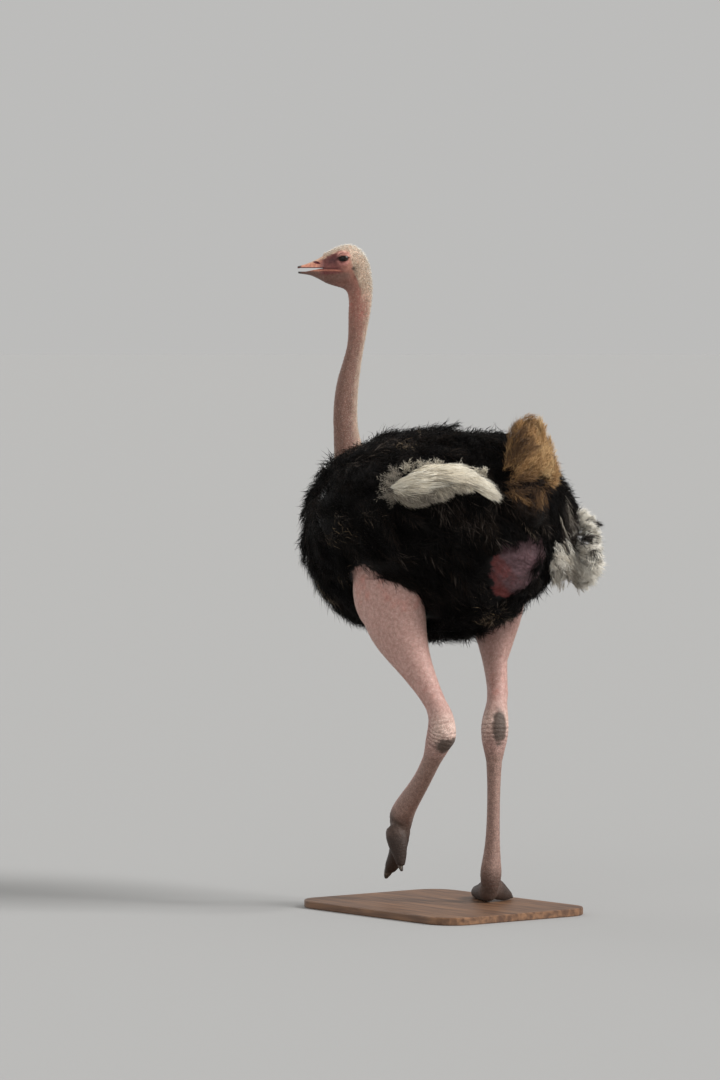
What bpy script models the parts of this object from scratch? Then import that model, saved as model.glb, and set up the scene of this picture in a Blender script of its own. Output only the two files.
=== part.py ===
"""Life-size male ostrich, walking with its left foot lifted, on a flat display base.

Metres, +Z up. The bird faces -Y and its left side is +X. The origin is the centre of the base's
underside, below the middle of the trunk. Heights in the tables below are measured from the heel.
"""

import math

import bmesh
import bpy
from mathutils import Matrix, Vector

# Driving dimensions
BASE_LENGTH = 0.80
BASE_WIDTH = 0.60
BASE_THICK = 0.025
BASE_CORNER = 0.09
BASE_EDGE = 0.003
GAP = 0.0003                      # between touching pieces
HEAD_TURN = math.radians(52)      # the head and neck turn this far to the bird's left
TOE_DEPTH = 0.016                 # how far the standing foot's soles lie below its heel
HEEL = BASE_THICK + GAP + TOE_DEPTH
EYE_RADIUS = 0.021
SHAG = 0.011                      # how far the locks of the plumage stand out

# Colours: base colour, roughness
FINISHES = {
    "plumage_black": ((0.016, 0.014, 0.013, 1), 0.65),
    "plumage_white": ((0.74, 0.69, 0.60, 1), 0.75),
    "plumage_brown": ((0.30, 0.19, 0.10, 1), 0.80),
    "skin_neck": ((0.50, 0.30, 0.25, 1), 0.60),
    "skin_face": ((0.55, 0.28, 0.23, 1), 0.55),
    "skin_leg": ((0.56, 0.36, 0.32, 1), 0.60),
    "skin_foot": ((0.25, 0.19, 0.165, 1), 0.70),
    "horn_bill": ((0.62, 0.33, 0.22, 1), 0.40),
    "horn_claw": ((0.06, 0.05, 0.045, 1), 0.40),
    "eye": ((0.03, 0.018, 0.012, 1), 0.08),
    "stand": ((0.55, 0.52, 0.47, 1), 0.55),
}

# Trunk in its plumage: forward, half width, back height, belly height, how much wider above than below
TRUNK = [
    (0.575, 0.055, 1.235, 1.110, 0.0),
    (0.545, 0.125, 1.325, 1.020, 0.0),
    (0.480, 0.205, 1.400, 0.935, -0.05),
    (0.370, 0.270, 1.468, 0.870, -0.05),
    (0.200, 0.315, 1.500, 0.840, 0.10),
    (0.000, 0.325, 1.505, 0.830, 0.28),
    (-0.180, 0.285, 1.500, 0.865, 0.28),
    (-0.330, 0.210, 1.470, 0.950, 0.25),
    (-0.430, 0.140, 1.405, 1.040, 0.25),
    (-0.485, 0.070, 1.325, 1.120, 0.0),
]

# Head and neck in the plane of the head: upper point (ahead, height), lower point, half width
FACE = [
    (0.1765, 2.0275, 0.1735, 2.0040, 0.0095),
    (0.1540, 2.0330, 0.1500, 2.0010, 0.0170),
    (0.1270, 2.0440, 0.1290, 1.9960, 0.0225),
    (0.1030, 2.0560, 0.1050, 1.9840, 0.0270),
    (0.0846, 2.0680, 0.0846, 1.9730, 0.0310),
]
HEAD = [
    FACE[-1],
    (0.0600, 2.0815, 0.0600, 1.9640, 0.0375),
    (0.0290, 2.0935, 0.0290, 1.9550, 0.0425),
    (0.0000, 2.0955, 0.0165, 1.9450, 0.0430),
    (-0.0290, 2.0765, 0.0120, 1.9330, 0.0405),
    (-0.0480, 2.0430, 0.0100, 1.9200, 0.0375),
    (-0.0590, 1.9980, 0.0095, 1.9020, 0.0345),
]
NECK_UPPER = [
    HEAD[-1],
    (-0.0632, 1.9350, 0.0112, 1.8680, 0.0315),
    (-0.0580, 1.8750, 0.0112, 1.8260, 0.0285),
    (-0.0430, 1.8000, 0.0140, 1.7720, 0.0265),
    (-0.0300, 1.7230, 0.0290, 1.7170, 0.0275),
]
NECK_LOWER = [
    NECK_UPPER[-1],
    (-0.0200, 1.6450, 0.0500, 1.6450, 0.0330),
    (-0.0150, 1.5600, 0.0600, 1.5600, 0.0365),
    (-0.0190, 1.4900, 0.0590, 1.4900, 0.0400),
    (-0.0450, 1.4200, 0.0560, 1.4000, 0.0500),
    (-0.1050, 1.3650, 0.0350, 1.3100, 0.0620),
]
HEAD_SPOT = Vector((0.027, -0.440, 0.0))  # the point below the crown that its outlines are measured from
MOUTH_GAPE = 0.086
MOUTH_ROOF = 2.0222
MOUTH_FLOOR = 2.0098
EYE_AHEAD = 0.0270
EYE_HEIGHT = 2.0515
EYE_ASIDE = 0.0245
NOSTRIL = (0.1150, 0.0235, 2.0400)

# Legs: centre (left, back, height), half size fore and aft, half size across
THIGH_LEFT = [
    (0.180, 0.020, 1.130, 0.080, 0.060),
    (0.220, -0.004, 1.040, 0.132, 0.088),
    (0.225, 0.022, 0.950, 0.130, 0.092),
    (0.213, 0.047, 0.860, 0.108, 0.081),
    (0.200, 0.099, 0.772, 0.067, 0.055),
    (0.188, 0.152, 0.695, 0.044, 0.039),
    (0.179, 0.187, 0.640, 0.036, 0.034),
]
ANKLE_LEFT = [
    THIGH_LEFT[-1],
    (0.174, 0.206, 0.601, 0.043, 0.039),
    (0.170, 0.206, 0.556, 0.049, 0.044),
    (0.163, 0.176, 0.512, 0.042, 0.040),
    (0.150, 0.132, 0.462, 0.030, 0.030),
]
TARSUS_LEFT = [
    ANKLE_LEFT[-1],
    (0.121, 0.038, 0.380, 0.0300, 0.0245),
    (0.091, -0.072, 0.300, 0.0370, 0.0310),
    (0.073, -0.126, 0.250, 0.0430, 0.0370),
    (0.067, -0.136, 0.207, 0.0340, 0.0290),
]
THIGH_RIGHT = [
    (-0.175, -0.030, 1.130, 0.080, 0.060),
    (-0.214, -0.028, 1.020, 0.126, 0.086),
    (-0.210, -0.004, 0.925, 0.117, 0.083),
    (-0.200, 0.028, 0.842, 0.086, 0.067),
    (-0.180, 0.058, 0.755, 0.056, 0.048),
    (-0.156, 0.088, 0.680, 0.041, 0.035),
    (-0.138, 0.105, 0.630, 0.036, 0.033),
]
ANKLE_RIGHT = [
    THIGH_RIGHT[-1],
    (-0.128, 0.112, 0.595, 0.043, 0.039),
    (-0.121, 0.115, 0.552, 0.049, 0.045),
    (-0.119, 0.115, 0.500, 0.042, 0.040),
    (-0.119, 0.114, 0.440, 0.029, 0.025),
]
TARSUS_RIGHT = [
    ANKLE_RIGHT[-1],
    (-0.119, 0.112, 0.330, 0.0265, 0.0195),
    (-0.119, 0.108, 0.200, 0.0275, 0.0215),
    (-0.119, 0.102, 0.125, 0.0330, 0.0290),
    (-0.119, 0.098, 0.080, 0.0380, 0.0350),
    (-0.120, 0.095, 0.042, 0.0330, 0.0300),
    (-0.121, 0.094, 0.016, 0.0210, 0.0200),
]

# Toes and claws: distance from the joint, height of the centre line, half height, half width
TOE_MAIN = [
    (-0.022, 0.034, 0.016, 0.014),
    (-0.006, 0.038, 0.035, 0.030),
    (0.040, 0.036, 0.035, 0.030),
    (0.085, 0.028, 0.0285, 0.0275),
    (0.125, 0.0235, 0.0245, 0.0260),
    (0.155, 0.0195, 0.0205, 0.0235),
    (0.173, 0.0150, 0.0140, 0.0170),
]
TOE_OUTER = [
    (-0.005, 0.062, 0.030, 0.022),
    (0.035, 0.046, 0.035, 0.024),
    (0.072, 0.030, 0.0295, 0.0215),
    (0.102, 0.0190, 0.0190, 0.0175),
    (0.122, 0.0130, 0.0125, 0.0120),
]
CLAW_MAIN = [
    (0.150, 0.0265, 0.0165, 0.0180),
    (0.177, 0.0195, 0.0155, 0.0160),
    (0.197, 0.0115, 0.0105, 0.0110),
    (0.209, 0.0050, 0.0045, 0.0050),
]
CLAW_OUTER = [
    (0.108, 0.0200, 0.0100, 0.0090),
    (0.126, 0.0140, 0.0090, 0.0075),
    (0.139, 0.0060, 0.0045, 0.0040),
]
# Each toe: where it starts, how far it turns to the bird's right, its drop below level at root and tip
TOES_RIGHT = {
    "main": (Vector((-0.119, 0.088, -TOE_DEPTH)), 26, 0, 0),
    "outer": (Vector((-0.119, 0.088, -TOE_DEPTH)), 72, 0, 0),
}
TOES_LEFT = {
    "main": (Vector((0.070, -0.097, 0.207)), 6, 78, 26),
    "outer": (Vector((0.074, -0.077, 0.220)), -25, 84, 74),
}

# Wings on the trunk: forward, middle and half width in degrees round the trunk from its top, thickness
WINGS = {
    "left": [
        (0.350, 82, 10, 0.020),
        (0.290, 80, 28, 0.040),
        (0.150, 79, 42, 0.055),
        (-0.030, 78, 46, 0.060),
        (-0.190, 77, 41, 0.058),
        (-0.310, 76, 30, 0.046),
        (-0.390, 75, 14, 0.025),
    ],
    "right": [
        (0.350, 82, 10, 0.020),
        (0.290, 82, 28, 0.040),
        (0.150, 84, 42, 0.055),
        (-0.030, 88, 46, 0.062),
        (-0.180, 93, 43, 0.068),
        (-0.300, 97, 32, 0.062),
        (-0.385, 98, 15, 0.035),
    ],
}
# White wing plumes: left, back, height, half height, half thickness
PLUMES = {
    "left": [
        (0.345, 0.165, 1.330, 0.035, 0.018),
        (0.330, 0.225, 1.345, 0.070, 0.030),
        (0.290, 0.300, 1.352, 0.078, 0.036),
        (0.240, 0.370, 1.345, 0.066, 0.036),
        (0.185, 0.425, 1.325, 0.045, 0.030),
        (0.140, 0.455, 1.305, 0.022, 0.018),
    ],
    "right": [
        (-0.330, 0.170, 1.135, 0.050, 0.022),
        (-0.330, 0.240, 1.125, 0.090, 0.036),
        (-0.318, 0.320, 1.110, 0.112, 0.042),
        (-0.298, 0.390, 1.095, 0.100, 0.040),
        (-0.275, 0.440, 1.085, 0.060, 0.028),
    ],
}
# Tail: left, back, height, half size fore and aft, half size across
TAIL = [
    (0.010, 0.430, 1.215, 0.050, 0.060),
    (0.010, 0.455, 1.275, 0.072, 0.090),
    (0.010, 0.458, 1.350, 0.078, 0.100),
    (0.010, 0.448, 1.425, 0.072, 0.092),
    (0.015, 0.435, 1.485, 0.058, 0.072),
    (0.020, 0.425, 1.530, 0.034, 0.040),
]

FORWARD = Vector((0, -1, 0))
UP = Vector((0, 0, 1))


def turned(angle):
    """The level direction that lies this far to the bird's right of straight ahead."""
    return Vector((-math.sin(angle), -math.cos(angle), 0))


def smooth(stations, steps):
    """Stations with steps - 1 more between each two, on a Catmull-Rom curve through them."""
    rows = [Vector(row) for row in stations]
    ends = [2 * rows[0] - rows[1]] + rows + [2 * rows[-1] - rows[-2]]
    found = []
    for a, b, c, d in zip(ends, ends[1:], ends[2:], ends[3:]):
        for i in range(steps):
            t = i / steps
            found.append(0.5 * (2 * b + (c - a) * t + (2 * a - 5 * b + 4 * c - d) * t ** 2
                                + (3 * b - a - 3 * c + d) * t ** 3))
    return found + [rows[-1]]


def oval(centre, high, wide, sides, power=2.0):
    """Points of an oval with half axes high and wide; a power over 2 squares it off."""
    ring = []
    for i in range(sides):
        angle = 2 * math.pi * i / sides
        up = math.copysign(abs(math.cos(angle)) ** (2 / power), math.cos(angle))
        across = math.copysign(abs(math.sin(angle)) ** (2 / power), math.sin(angle))
        ring.append(centre + high * up + wide * across)
    return ring


def limb_rings(stations, reference, steps, sides):
    """Rings square to a path of (x, y, z, half size along reference, half size across)."""
    rows = smooth(stations, steps)
    centres = [Vector(row[:3]) for row in rows]
    rings = []
    for i, row in enumerate(rows):
        along = (centres[min(i + 2, len(rows) - 1)] - centres[max(i - 2, 0)]).normalized()
        high = (reference - reference.dot(along) * along).normalized()
        wide = along.cross(high)
        rings.append(oval(centres[i], high * row[3], wide * row[4], sides))
    return rings


def shaggy(rings, depth=SHAG):
    """Lifts every second point of every second ring and draws it on, like the tip of a lock."""
    middles = [sum(ring, Vector()) / len(ring) for ring in rings]
    locks = list(rings)
    for k in range(1, len(rings) - 1, 2):
        back = (middles[k + 1] - middles[k]) * 0.45
        tips = [p + (p - middles[k]).normalized() * depth + back for p in rings[k]]
        locks[k] = [tip if (i + k // 2) % 2 else p for i, (tip, p) in enumerate(zip(tips, rings[k]))]
    return locks


def shifted(ring, towards, distance):
    """The ring moved towards another ring's middle, to leave a gap behind it."""
    step = (sum(towards, Vector()) - sum(ring, Vector())).normalized() * distance
    return [p + step for p in ring]


def add_object(name, bm, finish):
    """Makes the object from a bmesh whose heights are measured from the heel."""
    bmesh.ops.translate(bm, verts=bm.verts, vec=(0, 0, HEEL))
    bmesh.ops.recalc_face_normals(bm, faces=bm.faces)
    mesh = bpy.data.meshes.new(name)
    bm.to_mesh(mesh)
    bm.free()
    mesh.shade_smooth()
    obj = bpy.data.objects.new(name, mesh)
    bpy.context.collection.objects.link(obj)
    if finish:
        mesh.materials.append(bpy.data.materials[finish])
    return obj


def loft(name, rings, finish, domes=(0.0, 0.0)):
    """A closed solid through the rings, its two ends raised by the domes."""
    bm = bmesh.new()
    loops = [[bm.verts.new(p) for p in ring] for ring in rings]
    for near, far in zip(loops, loops[1:]):
        for i in range(len(near)):
            bm.faces.new((near[i - 1], near[i], far[i], far[i - 1]))
    ends = [bm.faces.new(loops[0]), bm.faces.new(loops[-1])]
    bmesh.ops.recalc_face_normals(bm, faces=bm.faces)
    for end, dome in zip(ends, domes):
        if dome:
            bmesh.ops.poke(bm, faces=[end], offset=dome)
    bmesh.ops.triangulate(bm, faces=bm.faces)
    return add_object(name, bm, finish)


def helper(obj):
    """Marks an object as a cutter that isn't part of the bird."""
    obj.hide_render = True
    obj.display_type = "WIRE"
    return obj


def grown(obj):
    """A cutter: the object's uncut shape, larger all round by the gap between pieces."""
    mesh = obj.data.copy()
    for vertex, normal in zip(mesh.vertices, [n.vector.copy() for n in mesh.vertex_normals]):
        vertex.co += normal * 1.5 * GAP
    cutter = bpy.data.objects.new("cutter_" + obj.name, mesh)
    bpy.context.collection.objects.link(cutter)
    return helper(cutter)


def cut(obj, *cutters):
    for cutter in cutters:
        modifier = obj.modifiers.new(cutter.name, "BOOLEAN")
        modifier.operation = "DIFFERENCE"
        modifier.object = cutter
    return obj


def make_finishes():
    for name, (colour, roughness) in FINISHES.items():
        material = bpy.data.materials.new(name)
        material.use_nodes = True
        shader = material.node_tree.nodes["Principled BSDF"]
        shader.inputs["Base Color"].default_value = colour
        shader.inputs["Roughness"].default_value = roughness
        shader.inputs["Metallic"].default_value = 0.0


def trunk_rings(steps=2, sides=30):
    rings = []
    for ahead, half_width, back, belly, swell in smooth(TRUNK, steps):
        middle, half_height = (back + belly) / 2, (back - belly) / 2
        ring = oval(Vector((0, -ahead, middle)), UP * half_height, Vector((half_width, 0, 0)), sides)
        for p in ring:
            p.x *= 1 + swell * (p.z - middle) / half_height
        rings.append(ring)
    return rings


def on_trunk(ahead, angle, lift):
    """A point this far ahead, at an angle round the trunk from its top to the left, and off its surface."""
    rows = smooth(TRUNK, 6)
    near = next(k for k in range(1, len(rows)) if rows[k][0] <= ahead)
    share = (rows[near - 1][0] - ahead) / (rows[near - 1][0] - rows[near][0])
    _, half_width, back, belly, swell = rows[near - 1].lerp(rows[near], share)
    half_height = (back - belly) / 2
    up, across = math.cos(angle), math.sin(angle)
    out = Vector((across / half_width, 0, up / half_height)).normalized() * lift
    return Vector((across * half_width * (1 + swell * up), -ahead, (back + belly) / 2 + half_height * up)) + out


def wing_rings(table, side, sides=14):
    """Ovals that lie on the trunk, wide round it and thin off it."""
    rings = []
    for ahead, middle, half_angle, thick in smooth(table, 2):
        ring = []
        for i in range(sides):
            turn = 2 * math.pi * i / sides
            angle = side * math.radians(middle + half_angle * math.cos(turn))
            ring.append(on_trunk(ahead, angle, thick * math.sin(turn)))
        rings.append(ring)
    return rings


def head_ring(row, sides=18):
    """An oval between an upper and a lower point of the head's outline."""
    facing = turned(-HEAD_TURN)
    upper = HEAD_SPOT + facing * row[0] + UP * row[1]
    lower = HEAD_SPOT + facing * row[2] + UP * row[3]
    return oval((upper + lower) / 2, (upper - lower) / 2, facing.cross(UP) * row[4], sides)


def in_head(ahead, aside, height):
    """A point ahead of the head's long axis and to the head's left."""
    facing = turned(-HEAD_TURN)
    return HEAD_SPOT + facing * ahead + UP.cross(facing) * aside + UP * height


def slab(name, outline, half_width):
    """A cutter: a closed outline in the head's plane, given thickness to both sides."""
    bm = bmesh.new()
    face = bm.faces.new([bm.verts.new(in_head(ahead, -half_width, height)) for ahead, height in outline])
    made = bmesh.ops.extrude_face_region(bm, geom=[face])["geom"]
    across = in_head(0, half_width, 0) - in_head(0, -half_width, 0)
    bmesh.ops.translate(bm, verts=[v for v in made if isinstance(v, bmesh.types.BMVert)], vec=across)
    return helper(add_object(name, bm, None))


def ball(name, centre, radii, turn, finish, segments=14):
    """An ellipsoid whose first axis points along the head."""
    bm = bmesh.new()
    bmesh.ops.create_uvsphere(bm, u_segments=segments, v_segments=segments // 2, radius=1.0)
    bmesh.ops.scale(bm, verts=bm.verts, vec=radii)
    place = Matrix.Translation(centre) @ Matrix.Rotation(turn, 4, "Z")
    bmesh.ops.transform(bm, matrix=place, verts=bm.verts)
    return add_object(name, bm, finish)


def build_head():
    """Bill, face, eyes and neck: one outline, parted at the mouth, the face and twice on the neck."""
    steps = 2
    whole = FACE + HEAD[1:] + NECK_UPPER[1:] + NECK_LOWER[1:]
    rings = [head_ring(row) for row in smooth(whole, steps)]
    face = (len(FACE) - 1) * steps
    nape = face + (len(HEAD) - 1) * steps
    middle = nape + (len(NECK_UPPER) - 1) * steps

    muzzle = rings[:face] + [shifted(rings[face], rings[face - 1], GAP)]
    roof, floor, tip = MOUTH_ROOF, MOUTH_FLOOR, FACE[0][0]
    beyond, low, high = tip + 0.05, MOUTH_FLOOR - 0.1, MOUTH_ROOF + 0.1
    behind = FACE[-1][0] - 0.01
    under_roof = slab("cutter_roof", [(behind, roof), (tip - 0.010, roof), (tip, roof - 0.0015),
                                      (beyond, roof - 0.0015), (beyond, low), (behind, low)], 0.06)
    over_floor = slab("cutter_floor", [(behind, high), (beyond, high), (beyond, floor), (0.150, floor),
                                       (0.128, floor + 0.0045), (0.104, floor + 0.0090),
                                       (MOUTH_GAPE, roof - GAP), (behind, roof - GAP)], 0.06)
    nose, aside, height = NOSTRIL
    slots = [ball("cutter_nostril_" + side, in_head(nose, sign * aside, height), (0.0105, 0.009, 0.0032),
                  HEAD_TURN - math.pi / 2, None, segments=8) for side, sign in (("left", 1), ("right", -1))]
    cut(loft("bill_upper", muzzle, "horn_bill", domes=(0.002, 0)), under_roof, *map(helper, slots))
    cut(loft("bill_lower", muzzle, "horn_bill", domes=(0.002, 0)), over_floor)

    head = loft("head", rings[face:nape + 1], "skin_face")
    for side, sign in (("left", 1), ("right", -1)):
        centre = in_head(EYE_AHEAD, sign * EYE_ASIDE, EYE_HEIGHT)
        eye = ball("eye_" + side, centre, [EYE_RADIUS] * 3, 0.0, "eye")
        cut(head, grown(eye))
    loft("neck_upper", [shifted(rings[nape], rings[nape + 1], GAP)] + rings[nape + 1:middle + 1], "skin_neck")
    lower = [shifted(rings[middle], rings[middle + 1], GAP)] + rings[middle + 1:]
    return loft("neck_lower", lower, "skin_neck")


def build_leg(side, tables, heading):
    """Thigh, ankle and tarsus: one limb, parted above and below the ankle. Returns thigh and tarsus."""
    steps = 2
    thigh, ankle, tarsus = tables
    rings = limb_rings(thigh + ankle[1:] + tarsus[1:], heading, steps, 12)
    top = (len(thigh) - 1) * steps
    bottom = top + (len(ankle) - 1) * steps
    upper = loft("thigh_" + side, rings[:top + 1], "skin_leg", domes=(0.02, 0))
    loft("ankle_" + side, [shifted(rings[top], rings[top + 1], GAP)] + rings[top + 1:bottom + 1], "skin_leg")
    shank = [shifted(rings[bottom], rings[bottom + 1], GAP)] + rings[bottom + 1:]
    return upper, loft("tarsus_" + side, shank, "skin_leg", domes=(0, 0.008))


def toe_rings(table, toe, steps=2, sides=10):
    """Rings of a toe or claw: a path from the toe's start whose drop changes evenly to its tip."""
    start, turn, root_drop, tip_drop = toe
    ahead = turned(math.radians(turn))
    reach = CLAW_MAIN[-1][0]
    where, walked, stations = start.copy(), 0.0, []
    for distance, height, half_height, half_width in table:
        drop = math.radians(root_drop + (tip_drop - root_drop) * (walked + distance) / 2 / reach)
        where += (distance - walked) * (ahead * math.cos(drop) - UP * math.sin(drop))
        walked = distance
        drop = math.radians(root_drop + (tip_drop - root_drop) * distance / reach)
        dorsal = ahead * math.sin(drop) + UP * math.cos(drop)
        stations.append((*(where + dorsal * height), half_height, half_width))
    drop = math.radians((root_drop + tip_drop) / 2)
    return limb_rings(stations, ahead * math.sin(drop) + UP * math.cos(drop), steps, sides)


def flatten_sole(obj):
    """Cuts the underside of a standing toe or claw level with the floor."""
    bm = bmesh.new()
    bm.from_mesh(obj.data)
    found = bmesh.ops.bisect_plane(bm, geom=bm.verts[:] + bm.edges[:] + bm.faces[:], dist=1e-6,
                                   plane_co=(0, 0, BASE_THICK + GAP), plane_no=(0, 0, -1), clear_outer=True)
    rim = [e for e in found["geom_cut"] if isinstance(e, bmesh.types.BMEdge)]
    bmesh.ops.holes_fill(bm, edges=rim, sides=0)
    bmesh.ops.recalc_face_normals(bm, faces=bm.faces)
    bm.to_mesh(obj.data)
    bm.free()


def build_foot(side, tarsus, toes, standing):
    """Two toes with their claws, each parted from the tarsus and from the toe before it."""
    made = [tarsus]
    for name, table, claw_table in (("main", TOE_MAIN, CLAW_MAIN), ("outer", TOE_OUTER, CLAW_OUTER)):
        claw = loft(f"claw_{name}_{side}", toe_rings(claw_table, toes[name], sides=8), "horn_claw",
                    domes=(0, 0.002))
        toe = loft(f"toe_{name}_{side}", toe_rings(table, toes[name]), "skin_foot", domes=(0.004, 0.004))
        if standing:
            flatten_sole(claw)
            flatten_sole(toe)
        cut(toe, grown(claw), *[grown(piece) for piece in made])
        made.append(toe)


def build_plumage():
    """Trunk, wings, white wing plumes and tail, each parted from what it lies on. Returns cutters."""
    trunk = loft("trunk", shaggy(trunk_rings()), "plumage_black", domes=(0.02, 0.02))
    around_trunk = grown(trunk)
    tail = loft("tail", shaggy(limb_rings(TAIL, FORWARD, 2, 16), SHAG / 2), "plumage_brown",
                domes=(0.01, 0.012))
    cut(tail, around_trunk)
    around = {"trunk": around_trunk}
    for side, sign in (("left", 1), ("right", -1)):
        wing = loft("wing_" + side, shaggy(wing_rings(WINGS[side], sign), SHAG / 2), "plumage_black",
                    domes=(0.01, 0.01))
        cut(wing, around_trunk)
        plumes = loft("plumes_" + side, shaggy(limb_rings(PLUMES[side], UP, 2, 14), SHAG / 2),
                      "plumage_white", domes=(0.01, 0.01))
        around[side] = grown(wing)
        cut(plumes, around_trunk, around[side], grown(tail))
    return around


def build_base():
    """The flat display base, a round-cornered plate."""
    bm = bmesh.new()
    bmesh.ops.create_cube(bm, size=1.0)
    bmesh.ops.scale(bm, verts=bm.verts, vec=(BASE_WIDTH, BASE_LENGTH, BASE_THICK))
    bmesh.ops.translate(bm, verts=bm.verts, vec=(0, 0, BASE_THICK / 2 - HEEL))
    upright = [e for e in bm.edges if abs(e.verts[0].co.z - e.verts[1].co.z) > BASE_THICK / 2]
    bmesh.ops.bevel(bm, geom=upright, offset=BASE_CORNER, segments=6, profile=0.5, affect="EDGES")
    rims = [e for e in bm.edges if abs(e.verts[0].co.z - e.verts[1].co.z) < BASE_THICK / 2]
    bmesh.ops.bevel(bm, geom=rims, offset=BASE_EDGE, segments=1, profile=0.5, affect="EDGES")
    base = add_object("stand_base", bm, "stand")
    base.data.set_sharp_from_angle(angle=math.radians(40))


def main():
    for obj in list(bpy.data.objects):
        bpy.data.objects.remove(obj)
    make_finishes()
    around = build_plumage()
    cut(build_head(), around["trunk"])

    for side, tables, ahead, toes in (
        ("left", (THIGH_LEFT, ANKLE_LEFT, TARSUS_LEFT), FORWARD, TOES_LEFT),
        ("right", (THIGH_RIGHT, ANKLE_RIGHT, TARSUS_RIGHT), turned(math.radians(20)), TOES_RIGHT),
    ):
        thigh, tarsus = build_leg(side, tables, ahead)
        cut(thigh, around["trunk"], around[side])
        build_foot(side, tarsus, toes, standing=side == "right")
    build_base()


main()
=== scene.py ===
import math

import bmesh
import bpy
import numpy as np
from mathutils import Matrix, Vector
from mathutils.bvhtree import BVHTree


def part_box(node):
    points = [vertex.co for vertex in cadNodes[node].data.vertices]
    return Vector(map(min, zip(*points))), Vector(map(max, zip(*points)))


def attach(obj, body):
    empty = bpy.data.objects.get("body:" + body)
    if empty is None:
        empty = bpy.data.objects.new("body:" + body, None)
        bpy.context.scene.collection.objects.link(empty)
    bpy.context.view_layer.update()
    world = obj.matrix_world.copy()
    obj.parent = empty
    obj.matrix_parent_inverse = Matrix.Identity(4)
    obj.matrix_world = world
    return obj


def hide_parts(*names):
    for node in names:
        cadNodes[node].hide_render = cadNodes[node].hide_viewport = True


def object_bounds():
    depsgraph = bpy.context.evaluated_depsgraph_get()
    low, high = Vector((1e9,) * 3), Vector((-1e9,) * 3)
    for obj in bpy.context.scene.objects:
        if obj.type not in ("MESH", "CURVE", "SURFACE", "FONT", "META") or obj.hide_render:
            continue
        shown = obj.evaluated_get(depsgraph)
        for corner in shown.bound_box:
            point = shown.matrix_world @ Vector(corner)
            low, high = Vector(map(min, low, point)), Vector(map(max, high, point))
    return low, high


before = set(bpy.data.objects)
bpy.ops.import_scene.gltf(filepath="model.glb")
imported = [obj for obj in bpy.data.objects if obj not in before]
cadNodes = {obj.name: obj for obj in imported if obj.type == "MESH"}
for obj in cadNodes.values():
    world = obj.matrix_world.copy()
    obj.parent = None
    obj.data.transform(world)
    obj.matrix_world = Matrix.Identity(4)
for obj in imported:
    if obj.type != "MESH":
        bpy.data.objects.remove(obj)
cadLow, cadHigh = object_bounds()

up = np.array([0.0, 0.0, 1.0])
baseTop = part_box("stand_base")[1][2]


def unit(v):
    return v / np.maximum(np.linalg.norm(v, axis=-1, keepdims=True), 1e-9)


def ease(x, low, high):  # smooth step from 0 at low to 1 at high
    t = np.clip((np.asarray(x, float) - low) / (high - low), 0, 1)
    return t * t * (3 - 2 * t)


def hill(x, middle, spread):
    return np.exp(-((np.asarray(x, float) - middle) / spread) ** 2)


def wavy(points, scale, seed, octaves=3):  # smooth noise about 0, in waves of about this size
    rule = np.random.default_rng(seed)
    total, size = 0.0, 1.0
    for _ in range(octaves):
        waves = rule.normal(size=(5, 3)) * (math.pi / scale)
        shifts = rule.uniform(0, 2 * math.pi, 5)
        total = total + size * np.sin(points @ waves.T + shifts).sum(-1) / 5 ** 0.5
        scale, size = scale / 2.1, size * 0.5
    return total / 1.6


def shapeOf(names, grow=0.0, levels=0):  # the CAD nodes' meshes, merged and rounded, as one bmesh
    bm = bmesh.new()
    for name in names:
        part = bmesh.new()
        part.from_mesh(cadNodes[name].data)
        bmesh.ops.remove_doubles(part, verts=part.verts, dist=0.00004)
        bmesh.ops.recalc_face_normals(part, faces=part.faces)
        if levels:
            bmesh.ops.join_triangles(part, faces=part.faces, angle_face_threshold=0.6,
                                     angle_shape_threshold=0.9)
            crease = part.edges.layers.float.new("crease_edge")
            for edge in part.edges:
                if len(edge.link_faces) == 2 and edge.calc_face_angle() > math.radians(48):
                    edge[crease] = 1.0
        obj = newObject("part", part)
        if levels:
            rounded = obj.modifiers.new("rounded", "SUBSURF")
            rounded.levels = rounded.render_levels = levels
            applied(obj)
        setPoints(obj, pointsOf(obj) + pointsOf(obj, True) * grow)
        bm.from_mesh(obj.data)
        removed(obj)
    return bm


def addBlob(bm, centre, radii):  # an ellipsoid that fills a joint under the plumage
    made = bmesh.ops.create_icosphere(bm, subdivisions=4, radius=1.0)["verts"]
    bmesh.ops.transform(bm, matrix=Matrix.Translation(centre) @ Matrix.Diagonal((*radii, 1)), verts=made)


def newObject(name, bm):
    mesh = bpy.data.meshes.new(name)
    bm.to_mesh(mesh)
    bm.free()
    obj = bpy.data.objects.new(name, mesh)
    bpy.context.collection.objects.link(obj)
    return obj


def applied(obj):  # makes the object's modifiers part of its mesh
    graph = bpy.context.evaluated_depsgraph_get()
    mesh = bpy.data.meshes.new_from_object(obj.evaluated_get(graph))
    obj.modifiers.clear()
    old, obj.data = obj.data, mesh
    bpy.data.meshes.remove(old)
    mesh.name = obj.name
    return obj


def removed(*objects):
    for obj in objects:
        mesh = obj.data
        bpy.data.objects.remove(obj)
        bpy.data.meshes.remove(mesh)


def fused(name, bm, voxel, rounds):  # one closed, smooth surface round all that the bmesh holds
    obj = newObject(name, bm)
    remesh = obj.modifiers.new("fuse", "REMESH")
    remesh.mode, remesh.voxel_size = "VOXEL", voxel
    even = obj.modifiers.new("even", "SMOOTH")
    even.factor, even.iterations = 0.5, rounds
    return applied(obj)


def joined(name, first, *others):  # closed surfaces made one closed surface
    for other in others:
        join = first.modifiers.new(other.name, "BOOLEAN")
        join.operation, join.solver, join.object = "UNION", "MANIFOLD", other
    applied(first)
    removed(*others)
    first.name = first.data.name = name
    return first


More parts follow.
